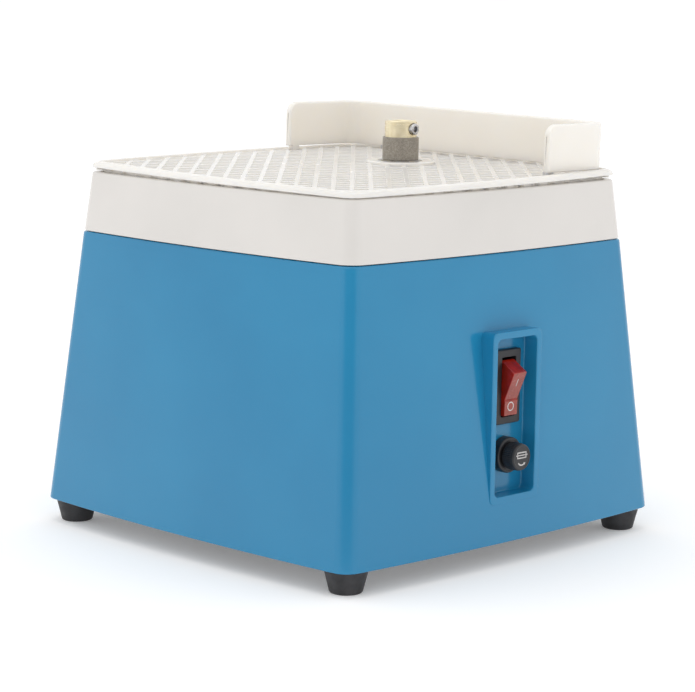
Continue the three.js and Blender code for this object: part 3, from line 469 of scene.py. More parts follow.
# Copies of one shape on points; a point's turn attribute turns its copy about the chosen axis.
def copyOnPoints(name, source, points, material, turns=None, axis="Z"):
    mesh = bpy.data.meshes.new(name)
    mesh.from_pydata(points, [], [])
    turn = mesh.attributes.new("turn", "FLOAT", "POINT")
    turn.data.foreach_set("value", turns or [0.0] * len(points))
    piece = bpy.data.objects.new(name, mesh)
    bpy.context.scene.collection.objects.link(piece)
    tree, names = startTree(name, {"Shape": source, "Size": 1.0})
    group = addNode(tree, "NodeGroupInput")
    shape = addNode(tree, "GeometryNodeObjectInfo")
    tree.links.new(group.outputs["Shape"], shape.inputs["Object"])
    angle = addNode(tree, "GeometryNodeInputNamedAttribute", {"data_type": "FLOAT"}, Name="turn")
    vector = addNode(tree, "ShaderNodeCombineXYZ")
    tree.links.new(angle.outputs["Attribute"], vector.inputs[axis])
    spread = addNode(tree, "GeometryNodeInstanceOnPoints")
    tree.links.new(group.outputs["Geometry"], spread.inputs["Points"])
    tree.links.new(shape.outputs["Geometry"], spread.inputs["Instance"])
    tree.links.new(vector.outputs["Vector"], spread.inputs["Rotation"])
    tree.links.new(group.outputs["Size"], spread.inputs["Scale"])
    endTree(tree, spread.outputs["Instances"], material)
    runTree(piece, tree, names, {"Shape": source, "Size": 1.0})
    bpy.data.objects.remove(source)
    return piece


# ---- housing

housingSizes = {
    "base": 9.9, "top": 129.9,
    "half": 96.2, "topHalf": 85.1,      # half-widths at the bottom and the top edge
    "corner": 7.0, "bow": 3.3,
    "wall": 2.6, "deck": 4.0,
    "rows": 22,
    "topRound": 0.8, "bottomRound": 0.7,
    "spindleY": 30.0, "shaftHole": 12.0,
}
recessSizes = {
    "y": 0.55, "front": 98.0, "depth": 7.2, "floor": 2.4,
    "halfWidth": 12.2, "low": 29.4, "high": 95.5,
    "rim": 2.9, "corner": 2.4, "round": 0.5, "floorRound": 0.6,
}
switchSizes = {
    "height": 74.4,
    "bezel": (15.0, 31.4, 2.2), "bezelRound": 0.6, "bezelCorner": 0.9,
    "body": (12.6, 27.4, 20.0),
    "window": (8.6, 25.0), "windowCorner": 0.5, "windowDepth": 17.0,
}
fuseSizes = {
    "height": 45.6, "flange": 7.6, "flangeDepth": 4.0, "barrel": 6.0, "barrelLength": 32.0, "bore": 4.3,
    "cap": 5.8, "capLength": 6.2, "stem": 3.8, "stemLength": 5.0, "ribs": 44, "ribHeight": 0.16,
}


def housingHalf(z):
    s = housingSizes
    share = (z - s["base"]) / (s["top"] - s["base"])
    return s["half"] + (s["topHalf"] - s["half"]) * share


# A ring of the housing's outline at one height, moved in by inset.
def housingRing(z, inset):
    s = housingSizes
    scale = (housingHalf(z) - inset) / s["half"]
    return [(x * scale, y * scale, z) for x, y in bowedOutline(s["half"], s["corner"], s["bow"])]


# Where the bowed +X wall is at (y, z).
def wallX(y, z, inset):
    s = housingSizes
    scale = (housingHalf(z) - inset) / s["half"]
    u = y / ((s["half"] - s["corner"]) * scale)
    return scale * (s["half"] + s["bow"] * (1 - u * u))


def mixPoints(a, b, t):
    return [tuple(p + (q - p) * t for p, q in zip(one, two)) for one, two in zip(a, b)]


# Fills between an outline and a circle on the same level, in a few even rings.
def outlineToCircle(ring, radius, x, y, steps=4):
    z = ring[0][2]
    target = []
    for px, py, _ in ring:
        a = math.atan2(py, px)
        target.append((x + radius * math.cos(a), y + radius * math.sin(a), z))
    return [mixPoints(ring, target, i / steps) for i in range(steps + 1)]


# One wall of the housing, all round but for the side that carries the recess.
def housingWall(bm, rows, inset, hole):
    sideSteps = 24
    rings = [housingRing(z, inset) for z in rows]
    made = [[bm.verts.new(p) for p in ring] for ring in rings]
    n = len(made[0])
    for low, high in zip(made, made[1:]):
        for i in range(sideSteps, n):
            j = (i + 1) % n
            bm.faces.new((low[i], low[j], high[j], high[i]))
    # round the recess the wall runs in rings, from the recess out to the wall's own border
    border = [(-1 + 2 * i / sideSteps, rows[0]) for i in range(sideSteps)]
    border += [(1, z) for z in rows[:-1]]
    border += [(1 - 2 * i / sideSteps, rows[-1]) for i in range(sideSteps)]
    border += [(-1, z) for z in rows[:0:-1]]
    s = housingSizes
    edge = s["half"] - s["corner"]

    def scaleAt(z):
        return (housingHalf(z) - inset) / s["half"]

    inner = [(y / (edge * scaleAt(z)), z) for y, z in hole]
    steps = 10
    around = []
    for k in range(steps + 1):
        t = (k / steps) ** 1.25
        ring = []
        for (u0, z0), (u1, z1) in zip(inner, border):
            u, z = u0 + (u1 - u0) * t, z0 + (z1 - z0) * t
            y = u * edge * scaleAt(z)
            ring.append((wallX(y, z, inset), y, z))
        around.append(ring)
    skin(bm, around)
    return around[0]


def boxTool(low, high):
    bm = bmesh.new()
    bmesh.ops.create_cube(bm, size=1)
    for v in bm.verts:
        v.co = Vector(low[i] if v.co[i] < 0 else high[i] for i in range(3))
    return looseObject("tool", bm, "steel")


# Closed rod along X or Y or Z, as a cutting tool.
def rodTool(axis, low, high, radius, first=0.0, second=0.0, count=96):
    bm = bmesh.new()
    rings = []
    for value in (low, high):
        ring = []
        for a, b in circle(radius, count):
            p = [a + first, b + second]
            p.insert(axis, value)
            ring.append(p)
        rings.append(ring)
    skin(bm, rings, True, True)
    bmesh.ops.recalc_face_normals(bm, faces=bm.faces)
    return looseObject("tool", bm, "steel")


def makeHousing():
    s, r = housingSizes, recessSizes
    middle = (r["low"] + r["high"]) / 2
    height = r["high"] - r["low"]
    steps = (24, s["rows"])

    def recessOutline(margin):
        corner = r["corner"] + min(margin, 0)
        points = roundedOutline(2 * (r["halfWidth"] + margin), height + 2 * margin, corner, steps, 5)
        return [(y + r["y"], z + middle) for y, z in points]

    bm = bmesh.new()
    top, base, under = s["top"], s["base"], s["top"] - s["deck"]
    tr, br = s["topRound"], s["bottomRound"]
    quarter = quarterTurn(4)
    rows = [base + br + (top - tr - base - br) * i / s["rows"] for i in range(s["rows"] + 1)]
    skin(bm, [housingRing(base + br * (1 - math.cos(a)), br * (1 - math.sin(a))) for a in quarter])
    start = housingWall(bm, rows, 0, recessOutline(r["rim"]))
    lip = [housingRing(top - tr + tr * math.sin(a), tr * (1 - math.cos(a))) for a in quarter]
    deck = outlineToCircle(lip[-1], s["shaftHole"], 0, s["spindleY"])
    ceiling = outlineToCircle(housingRing(under, s["wall"]), s["shaftHole"], 0, s["spindleY"])
    skin(bm, lip + deck[1:] + ceiling[::-1])
    innerRows = [base + (under - base) * i / s["rows"] for i in range(s["rows"] + 1)]
    back = housingWall(bm, innerRows, s["wall"], recessOutline(r["floor"]))
    skin(bm, [housingRing(base, s["wall"]), housingRing(base, br)])

    # the recess: out along its frame, over the rim and down to its floor
    front, floorX = r["front"], r["front"] - r["depth"]
    widest, narrowed = recessOutline(r["rim"]), recessOutline(r["rim"] - r["round"])
    rings = [start]
    for a in quarter:
        ring = []
        for (x, _, _), (y0, z0), (y1, z1) in zip(start, widest, narrowed):
            edge = min(r["round"], 0.75 * (front - x))
            t = edge * (1 - math.cos(a)) / r["round"]
            ring.append((front - edge + edge * math.sin(a), y0 + (y1 - y0) * t, z0 + (z1 - z0) * t))
        rings.append(ring)
    for a in quarter:
        x = front - r["round"] * (1 - math.cos(a))
        rings.append([(x, y, z) for y, z in recessOutline(r["round"] * (1 - math.sin(a)))])
    for a in quarter:
        x = floorX + r["floorRound"] * (1 - math.sin(a))
        rings.append([(x, y, z) for y, z in recessOutline(-r["floorRound"] * (1 - math.cos(a)))])
    skin(bm, rings, closeLast=True)
    behind = [(floorX - r["floor"], y, z) for _, y, z in back]
    skin(bm, [back, behind], closeLast=True)
    joinDoubles(bm)
    housing = looseObject("housing", bm, "bluePlastic")

    w, f = switchSizes, fuseSizes
    halfW, halfH = w["body"][0] / 2 + seatGap, w["body"][1] / 2 + seatGap
    cutBack, cutFront = floorX - 6, floorX + 1
    y, z = r["y"], w["height"]
    tool = boxTool((cutBack, y - halfW, z - halfH), (cutFront, y + halfW, z + halfH))
    combine(housing, tool, "DIFFERENCE")
    hole = rodTool(0, cutBack, cutFront, f["barrel"] + seatGap, y, f["height"])
    combine(housing, hole, "DIFFERENCE")
    placePiece(housing, "base", ["housing_shell"])


makeHousing()
print("housing is moulded")


# ---- switch

def roundedBox(y0, z0, width, height, radius, steps=(16, 32), arc=4):
    return [(y + y0, z + z0) for y, z in roundedOutline(width, height, radius, steps, arc)]


def ringX(x, points):
    return [(x, y, z) for y, z in points]


def makeSwitchBody():
    s, r = switchSizes, recessSizes
    seat = r["front"] - r["depth"] + seatGap
    front, z = seat + s["bezel"][2], s["height"]
    width, height = s["bezel"][:2]
    e = s["bezelRound"]
    body = roundedBox(r["y"], z, s["body"][0], s["body"][1], 0.8)
    rings = [ringX(seat - s["body"][2], body), ringX(seat, body)]
    rings.append(ringX(seat, roundedBox(r["y"], z, width, height, s["bezelCorner"])))
    for a in (0, 0.4, 0.8, 1.2, math.pi / 2):
        inset = e * (1 - math.cos(a))
        edge = roundedBox(r["y"], z, width - 2 * inset, height - 2 * inset,
                          s["bezelCorner"] - inset * 0.6)
        rings.append(ringX(front - e + e * math.sin(a), edge))
    w, h = s["window"]
    for a in (0, 0.5, 1.0, math.pi / 2):
        inset = 0.3 * (1 - math.sin(a))
        rings.append(ringX(front - 0.3 * (1 - math.cos(a)),
                           roundedBox(r["y"], z, w + 2 * inset, h + 2 * inset, s["windowCorner"])))
    rings.append(ringX(front - s["windowDepth"], roundedBox(r["y"], z, w, h, s["windowCorner"])))
    body = skinned("switchBody", "blackPlastic", rings, True)
    placePiece(body, "base", ["switch_body"])


rockerSizes = {
    "pivot": (87.3, 74.4),             # x and height of the pin it rocks on
    "width": 8.0, "turn": 15.0,        # degrees at rest, upper half out
    "fold": (8.65, -2.55),
    "tips": ((10.3, 9.6), (10.3, -9.6)),
    "skirts": ((1.9, 12.25), (1.9, -12.25)),
    "heel": (-3.5, 4.0),
    "edge": 0.35,
    "stepTop": 0.25, "stepHeight": 0.9, "stepDepth": 0.5,
    "strokePlace": 0.62, "strokeHeight": 3.4, "strokeWidth": 0.36,
    "ringPlace": 0.47, "ringSide": -0.3, "ringRadius": 1.95, "ringWidth": 0.42,
}


def rockerPlace(points):
    s = rockerSizes
    a = math.radians(s["turn"])
    px, pz = s["pivot"]
    cos, sin = math.cos(a), math.sin(a)
    return [(px + x * cos + z * sin, y + recessSizes["y"], pz - x * sin + z * cos) for x, y, z in points]


# The side view of the rocker, its corners rounded by short arcs.
def rockerProfile():
    s = rockerSizes
    heelX, heelZ = s["heel"]
    corners = [s["fold"], s["tips"][0], s["skirts"][0], (heelX, heelZ), (heelX, -heelZ),
               s["skirts"][1], s["tips"][1]]
    points = []
    for i, c in enumerate(corners):
        before, after, c = Vector(corners[i - 1]), Vector(corners[(i + 1) % len(corners)]), Vector(c)
        cut = 0.15 if i == 0 else s["edge"]
        a, b = (before - c).normalized() * cut + c, (after - c).normalized() * cut + c
        for k in range(5):
            t = k / 4
            points.append(tuple(a * (1 - t) ** 2 + c * 2 * t * (1 - t) + b * t * t))
    return points


def makeRocker():
    s = rockerSizes
    profile = rockerProfile()
    centre = Vector((3.5, 0.0))
    half, e = s["width"] / 2, s["edge"]
    rings = []
    for side in (-1, 1):
        part = []
        for a in (0, 0.4, 0.8, 1.2, math.pi / 2):
            y = half - e + e * math.cos(a)
            shrink = e * (1 - math.sin(a))
            ring = []
            for x, z in profile:
                way = (Vector((x, z)) - centre).normalized()
                p = Vector((x, z)) - way * (shrink * 0.8)
                ring.append((p.x, side * y, p.y))
            part.append(ring)
        rings += part if side < 0 else part[::-1]
    rocker = skinned("switchRocker", "redPlastic", [rockerPlace(r) for r in rings], True, 0.0005)

    # a short step runs across the top of the lower face
    fold, tip = Vector(s["fold"]), Vector(s["tips"][1])
    along = (tip - fold).normalized()
    out = Vector((-along.y, along.x))
    a = fold + along * s["stepTop"]
    b = a + along * s["stepHeight"]
    bm = bmesh.new()
    shape = [a - out * s["stepDepth"], b - out * 0.1, b + out, a + out]
    skin(bm, [rockerPlace([(p.x, y, p.y) for p in shape]) for y in (-half - 1, half + 1)], True, True)
    bmesh.ops.recalc_face_normals(bm, faces=bm.faces)
    combine(rocker, looseObject("tool", bm, "redPlastic"), "DIFFERENCE")
    placePiece(rocker, "rocker", ["switch_rocker"], sharp=40)
    rocker.data.materials.append(finish["redFace"])
    turn = math.radians(s["turn"])
    for face in rocker.data.polygons:
        n = face.normal
        local = n.x * math.cos(turn) - n.z * math.sin(turn)
        if local > 0.93 and face.center.x > 0.0905:
            face.material_index = 1

    # I and O, as thin painted shapes on the two faces
    lift = 0.03
    bm = bmesh.new()
    upperTip = Vector(s["tips"][0])
    upper = (upperTip - fold).normalized()
    face = Vector((upper.y, -upper.x))
    centreI = fold + upper * ((upperTip - fold).length * s["strokePlace"])

    def onFace(origin, run, rise, y, v, d):
        p = origin + run * v + rise * d
        return (p.x, y, p.y)

    hw, hh = s["strokeWidth"] / 2, s["strokeHeight"] / 2
    stroke = roundedOutline(2 * hw, 2 * hh, hw * 0.9, (10, 14), 4)
    rings = [rockerPlace([onFace(centreI, upper, face, y, v, d) for y, v in stroke]) for d in (-0.1, lift)]
    skin(bm, rings, True, True)
    centreO = fold.lerp(tip, s["ringPlace"])
    rings = []
    wide, narrow = s["ringRadius"], s["ringRadius"] - s["ringWidth"]
    for radius, d in ((wide, -0.1), (wide, lift), (narrow, lift), (narrow, -0.1), (wide, -0.1)):
        points = [(y + s["ringSide"], v) for y, v in circle(radius, 48)]
        rings.append(rockerPlace([onFace(centreO, -along, out, y, v, d) for y, v in points]))
    skin(bm, rings)
    joinDoubles(bm, 0.0005)
    placePiece(looseObject("switchMarks", bm, "markPaint"), "rocker")


makeSwitchBody()
makeRocker()
print("switch is in")


# ---- fuse holder

def turnedX(profile, z, count=96):
    y = recessSizes["y"]
    return [[(x, a + y, b + z) for a, b in circle(radius, count)] for radius, x in profile]


def makeFuse():
    s, r = fuseSizes, recessSizes
    seat = r["front"] - r["depth"] + seatGap
    front, z = seat + s["flangeDepth"], s["height"]
    f, b, bore = s["flange"], s["barrel"], s["bore"]
    back = front - s["barrelLength"]
    profile = [(b - 0.4, back), (b, back + 0.4), (b, seat), (f - 0.1, seat), (f, seat + 0.15),
               (f, front - 0.75), (f - 0.12, front - 0.4), (f - 0.4, front - 0.12), (f - 0.75, front),
               (s["cap"] + 0.75, front), (s["cap"] + 0.55, front - 0.3), (bore + 0.2, front - 0.3),
               (bore, front - 0.5), (bore, back + 2)]
    flange = skinned("fuseFlange", "blackPlastic", turnedX(profile, z), True)
    placePiece(flange, "base", ["fuse_holder"])

    cap, low, stem = s["cap"] - s["ribHeight"], front + seatGap, s["stem"]
    high, stemLow = low + s["capLength"], low - s["stemLength"]
    profile = [(stem - 0.4, stemLow), (stem, stemLow + 0.4), (stem, low), (cap - 0.2, low), (cap, low + 0.2),
               (cap, high - 1.1), (cap - 0.05, high - 0.6), (cap - 0.25, high - 0.2), (cap - 0.55, high),
               (cap - 0.9, high), (cap - 1.05, high - 0.1), (0.9, high - 0.1)]
    capPiece = skinned("fuseCap", "blackPlastic", turnedX(profile, z), True)
    placePiece(capPiece, "fuse_knob", ["fuse_cap"])

    # grip ribs round the cap: one rib, copied on a circle
    bm = bmesh.new()
    half = math.pi * cap / s["ribs"] * 0.5
    section = [(-half, -0.12), (half, -0.12), (half * 0.55, s["ribHeight"]), (-half * 0.55, s["ribHeight"])]
    length = s["capLength"] - 1.9
    rings = [[(x * mm, y * mm, h * mm) for y, h in section] for x in (0, 0.2, length - 0.2, length)]
    for ring in (rings[0], rings[-1]):
        for i in (2, 3):
            ring[i] = (ring[i][0], ring[i][1], -0.05 * mm)
    skin(bm, rings, True, True)
    bmesh.ops.recalc_face_normals(bm, faces=bm.faces)
    rib = looseObject("rib", bm, "blackPlastic")
    angles = [2 * math.pi * i / s["ribs"] for i in range(s["ribs"])]
    points = [((low + 0.5) * mm, (r["y"] - cap * math.sin(a)) * mm, (z + cap * math.cos(a)) * mm)
              for a in angles]
    ribs = copyOnPoints("fuseGrip", rib, points, "blackPlastic", angles, "X")
    ribs.data.transform(Matrix.Scale(1 / mm, 4))
    placePiece(ribs, "fuse_knob", sharp=20)

    # a plain fuse sign and a turn arrow on the end of the cap
    bm = bmesh.new()
    x0, x1 = high - 0.16, high - 0.06

    def flat(points):
        skin(bm, [[(x, y + r["y"], v + z) for y, v in points] for x in (x0, x1)], True, True)

    def strip(points, width):
        left, right = [], []
        for i, p in enumerate(points):
            before, after = Vector(points[max(i - 1, 0)]), Vector(points[min(i + 1, len(points) - 1)])
            way = (after - before).normalized() * width / 2
            left.append((p[0] - way.y, p[1] + way.x))
            right.append((p[0] + way.y, p[1] - way.x))
        rings = []
        for l, q in zip(left, right):
            rings.append([(x, p[0] + r["y"], p[1] + z) for x, p in ((x0, l), (x1, l), (x1, q), (x0, q))])
        skin(bm, rings, True, True)

    w, h, t, up = 5.2, 2.3, 0.5, 0.95
    strip([(-w / 2, up + h / 2), (w / 2, up + h / 2)], t)
    strip([(-w / 2, up - h / 2), (w / 2, up - h / 2)], t)
    strip([(-w / 2, up - h / 2 - t / 2), (-w / 2, up + h / 2 + t / 2)], t)
    strip([(w / 2, up - h / 2 - t / 2), (w / 2, up + h / 2 + t / 2)], t)
    strip([(-w / 2 - 0.9, up), (w / 2 + 0.9, up)], t * 0.8)
    turns = [math.radians(-145 + 9 * i) for i in range(11)]
    arc = [(2.5 * math.cos(a), -0.75 + 2.5 * math.sin(a)) for a in turns]
    strip(arc, 0.55)
    tip = Vector(arc[-1])
    way = (tip - Vector(arc[-2])).normalized()
    side = Vector((-way.y, way.x))
    flat([tuple(tip + way * 1.0), tuple(tip + side * 0.62), tuple(tip - side * 0.62)])
    bmesh.ops.recalc_face_normals(bm, faces=bm.faces)
    placePiece(looseObject("fuseMarks", bm, "markPaint"), "fuse_knob")


makeFuse()
print("fuse holder is in")


# ---- basin

basinSizes = {
    "base": 130.2, "top": 156.0, "half": 85.1, "topHalf": 82.5, "corner": 7.0, "bow": 3.4,
    "wall": 2.3, "floor": 3.0, "edge": 0.9, "foot": 0.5, "fillet": 3.0, "rows": 10,
    "spindleY": 30.0, "pipe": 13.0, "pipeTop": 150.2, "bore": 6.0,
    "pipeFillet": 1.5, "pipeEdge": 0.8, "innerEdge": 0.5,
    "padOffset": 56.5, "pad": 6.0, "padTop": 142.2,
    "postOffset": 70.0, "post": 4.0, "postTop": 154.3,
}


def makeBasin():
    s = basinSizes
    quarter = quarterTurn(4)
    base, top, floorZ = s["base"], s["top"], s["base"] + s["floor"]

    def ring(z, inset):
        half = s["half"] + (s["topHalf"] - s["half"]) * (z - base) / (top - base) - inset
        scale = half / s["half"]
        return [(x * scale, y * scale, z) for x, y in bowedOutline(s["half"], s["corner"], s["bow"])]

    e, w, f, foot = s["edge"], s["wall"], s["fillet"], s["foot"]
    rings = [ring(base + foot * (1 - math.cos(a)), foot * (1 - math.sin(a))) for a in quarter]
    rings += [ring(base + foot + (top - e - base - foot) * i / s["rows"], 0) for i in range(1, s["rows"])]
    rings += [ring(top - e + e * math.sin(a), e * (1 - math.cos(a))) for a in quarter]
    lip = s["innerEdge"]
    rings += [ring(top - lip * (1 - math.cos(a)), w - lip * (1 - math.sin(a))) for a in quarter]
    rings += [ring(top - lip - (top - lip - floorZ - f) * i / s["rows"], w) for i in range(1, s["rows"])]
    rings += [ring(floorZ + f * (1 - math.sin(a)), w + f * (1 - math.cos(a))) for a in quarter]
    pipe, pipeTop, fillet, pipeEdge = s["pipe"], s["pipeTop"], s["pipeFillet"], s["pipeEdge"]
    rings += outlineToCircle(rings[-1], pipe + fillet, 0, s["spindleY"], 5)[1:]
    angles = [math.atan2(y, x) for x, y, _ in rings[0]]

    def pipeRing(radius, z):
        return [(radius * math.cos(a), s["spindleY"] + radius * math.sin(a), z) for a in angles]

    rings += [pipeRing(pipe + fillet * (1 - math.sin(a)), floorZ + fillet * (1 - math.cos(a)))
              for a in quarter[1:]]
    rings += [pipeRing(pipe - pipeEdge * (1 - math.cos(a)), pipeTop - pipeEdge + pipeEdge * math.sin(a))
              for a in quarter]
    rings += [pipeRing(s["bore"] + lip * (1 - math.sin(a)), pipeTop - lip * (1 - math.cos(a)))
              for a in quarter]
    rings.append(pipeRing(s["bore"], base))
    rings += outlineToCircle(rings[0], s["bore"], 0, s["spindleY"], 5)[::-1][1:]
    placePiece(skinned("basin", "whitePlastic", rings), "base", ["basin"])

    # screw pads and the posts that the table rests on, one turned shape each, copied to the corners
    signs = [(-1, -1), (1, -1), (1, 1), (-1, 1)]
    for name, offset, radius, high in (("basinPads", s["padOffset"], s["pad"], s["padTop"]),
                                       ("basinPosts", s["postOffset"], s["post"], s["postTop"])):
        low = floorZ - 1
        profile = [(radius + 0.6, 0), (radius + 0.6, 1), (radius + 0.15, 1.5), (radius, 2.2),
                   (radius, high - low - 0.6), (radius - 0.2, high - low - 0.15), (radius - 0.6, high - low)]
        rings = turnedRings([(a * mm, b * mm) for a, b in profile], 48)
        one = skinned("one", "whitePlastic", rings, True, 0.000001)
        points = [(x * offset * mm, y * offset * mm, low * mm) for x, y in signs]
        piece = copyOnPoints(name, one, points, "whitePlastic")
        piece.data.transform(Matrix.Scale(1 / mm, 4))
        placePiece(piece, "base")


makeBasin()
print("basin is in")


# ---- worktable: rim, skirt, lattice and collar, leaned together

tableSizes = {
    "tilt": 0.0142,                     # radians about the diagonal through the two side corners
    "rimBase": 157.95, "rimHalf": 82.75, "rimTopHalf": 79.9, "rimInnerHalf": 79.0, "rimHeight": 2.6,
    "bow": 3.45, "corner": 7.0, "pocketCorner": 5.0, "edge": 0.35,
    "gridDrop": 0.85, "gridDepth": 3.0,
    "neckHalf": 79.3, "neckWall": 2.0, "neckDepth": 5.4,
    "barSpacing": 7.57, "barWidth": 2.0, "barEdge": 0.28, "bars": 29, "overrun": 1.0,
    "collar": 15.25, "collarHeight": 1.2, "bitHole": 9.75, "spindleY": 30.0,
}
guardSizes = {
    "half": 78.9, "wall": 3.3, "height": 20.4, "lift": 0.5,
    "tip": (-1.0, 0.26),                # degrees about X and Y; the wings ride up out of their holes
    "corner": 9.0, "frontRound": 5.5, "edge": 0.9, "foot": 0.4,
    "leftWing": 45.3, "rightWing": 40.0,
    "peg": (4.0, 2.6), "pegDepth": 3.4, "rearPegs": 110.0, "pegPlay": 0.5,
    "setback": (2.0, 0.4),              # of the left and the right peg from the wing's end
}


def leaned(mesh):
    s = tableSizes
    pivot = Matrix.Translation((0, 0, s["rimBase"]))
    mesh.transform(pivot @ Matrix.Rotation(s["tilt"], 4, Vector((1, 1, 0)).normalized()) @ pivot.inverted())


# Bars in two directions, each as long as the square is wide where it lies.
def latticeTree():
    tree, names = startTree("lattice", {"Spacing": 1.0, "Bar Width": 1.0, "Bar Depth": 1.0, "Edge": 0.1,
                                        "Half Diagonal": 1.0, "Bulge": 0.0, "Straight Share": 1.0,
                                        "Overrun": 0.0, "Bars": 3, "Top": 0.0})
    link = tree.links.new
    group = addNode(tree, "NodeGroupInput").outputs

    def maths(operation, first, second):
        node = addNode(tree, "ShaderNodeMath", {"operation": operation})
        for socket, value in zip(node.inputs, (first, second)):
            if isinstance(value, (int, float)):
                socket.default_value = value
            else:
                link(value, socket)
        return node.outputs[0]

    def vector(x=None, y=None, z=None):
        node = addNode(tree, "ShaderNodeCombineXYZ")
        for socket, value in zip(node.inputs, (x, y, z)):
            if isinstance(value, (int, float)):
                socket.default_value = value
            elif value is not None:
                link(value, socket)
        return node.outputs[0]

    section = addNode(tree, "GeometryNodeCurvePrimitiveQuadrilateral", {"mode": "RECTANGLE"})
    link(group["Bar Width"], section.inputs["Width"])
    link(group["Bar Depth"], section.inputs["Height"])
    rounded = addNode(tree, "GeometryNodeFilletCurve")
    if "Mode" in rounded.inputs:
        rounded.inputs["Mode"].default_value = "Poly"
    else:
        rounded.mode = "POLY"
    rounded.inputs["Count"].default_value = 3
    link(section.outputs["Curve"], rounded.inputs["Curve"])
    link(group["Edge"], rounded.inputs["Radius"])
    axis = addNode(tree, "GeometryNodeCurvePrimitiveLine")
    axis.inputs["Start"].default_value = (0, -0.5, 0)
    axis.inputs["End"].default_value = (0, 0.5, 0)
    bar = addNode(tree, "GeometryNodeCurveToMesh")
    bar.inputs["Fill Caps"].default_value = True
    link(axis.outputs["Curve"], bar.inputs["Curve"])
    link(rounded.outputs["Curve"], bar.inputs["Profile Curve"])

    span = maths("MULTIPLY", maths("SUBTRACT", group["Bars"], 1), group["Spacing"])
    row = addNode(tree, "GeometryNodeMeshLine", {"mode": "OFFSET"})
    link(group["Bars"], row.inputs["Count"])
    link(vector(x=maths("MULTIPLY", span, -0.5)), row.inputs["Start Location"])
    link(vector(x=group["Spacing"]), row.inputs["Offset"])
    here = addNode(tree, "ShaderNodeSeparateXYZ")
    link(addNode(tree, "GeometryNodeInputPosition").outputs[0], here.inputs[0])
    away = maths("ABSOLUTE", here.outputs["X"], 0)
    # a bar is as long as the square is wide there, and a little more where the sides bow out
    place = maths("SUBTRACT", maths("DIVIDE", maths("MULTIPLY", away, 2), group["Half Diagonal"]), 1)
    place = maths("DIVIDE", place, group["Straight Share"])
    bulge = maths("MULTIPLY", group["Bulge"], maths("SUBTRACT", 1, maths("MULTIPLY", place, place)))
    extra = maths("ADD", group["Overrun"], bulge)
    reach = maths("ADD", maths("SUBTRACT", group["Half Diagonal"], away), extra)
    reach = maths("MULTIPLY", maths("MAXIMUM", reach, 0.5), 2)
    spread = addNode(tree, "GeometryNodeInstanceOnPoints")
    link(row.outputs["Mesh"], spread.inputs["Points"])
    link(bar.outputs["Mesh"], spread.inputs["Instance"])
    link(vector(1.0, reach, 1.0), spread.inputs["Scale"])
    solid = addNode(tree, "GeometryNodeRealizeInstances")
    link(spread.outputs["Instances"], solid.inputs[0])
    height = maths("SUBTRACT", group["Top"], maths("MULTIPLY", group["Bar Depth"], 0.5))
    weave = addNode(tree, "GeometryNodeMeshBoolean", {"operation": "UNION", "solver": "MANIFOLD"})
    for degrees in (45, 135):
        turned = addNode(tree, "GeometryNodeTransform")
        turned.inputs["Rotation"].default_value = (0, 0, math.radians(degrees))
        link(vector(z=height), turned.inputs["Translation"])
        link(solid.outputs[0], turned.inputs["Geometry"])
        link(turned.outputs[0], weave.inputs["Mesh 2"])
    # the lattice takes the white plastic painted lighter and warmer, as painted bounce light
    endTree(tree, weave.outputs["Mesh"], "ivoryPlastic")
    return tree, names


# Each peg is [x, y, size along X, size along Y].
def guardPegs():
    g = guardSizes
    long, thick = g["peg"]
    line = g["half"] - g["wall"] + thick / 2
    left = g["half"] - g["leftWing"] + g["setback"][0] + long / 2
    right = g["half"] - g["rightWing"] + g["setback"][1] + long / 2
    return [(-line, left, thick, long), (line, right, thick, long),
            (-g["rearPegs"] / 2, line, long, thick), (g["rearPegs"] / 2, line, long, thick)]


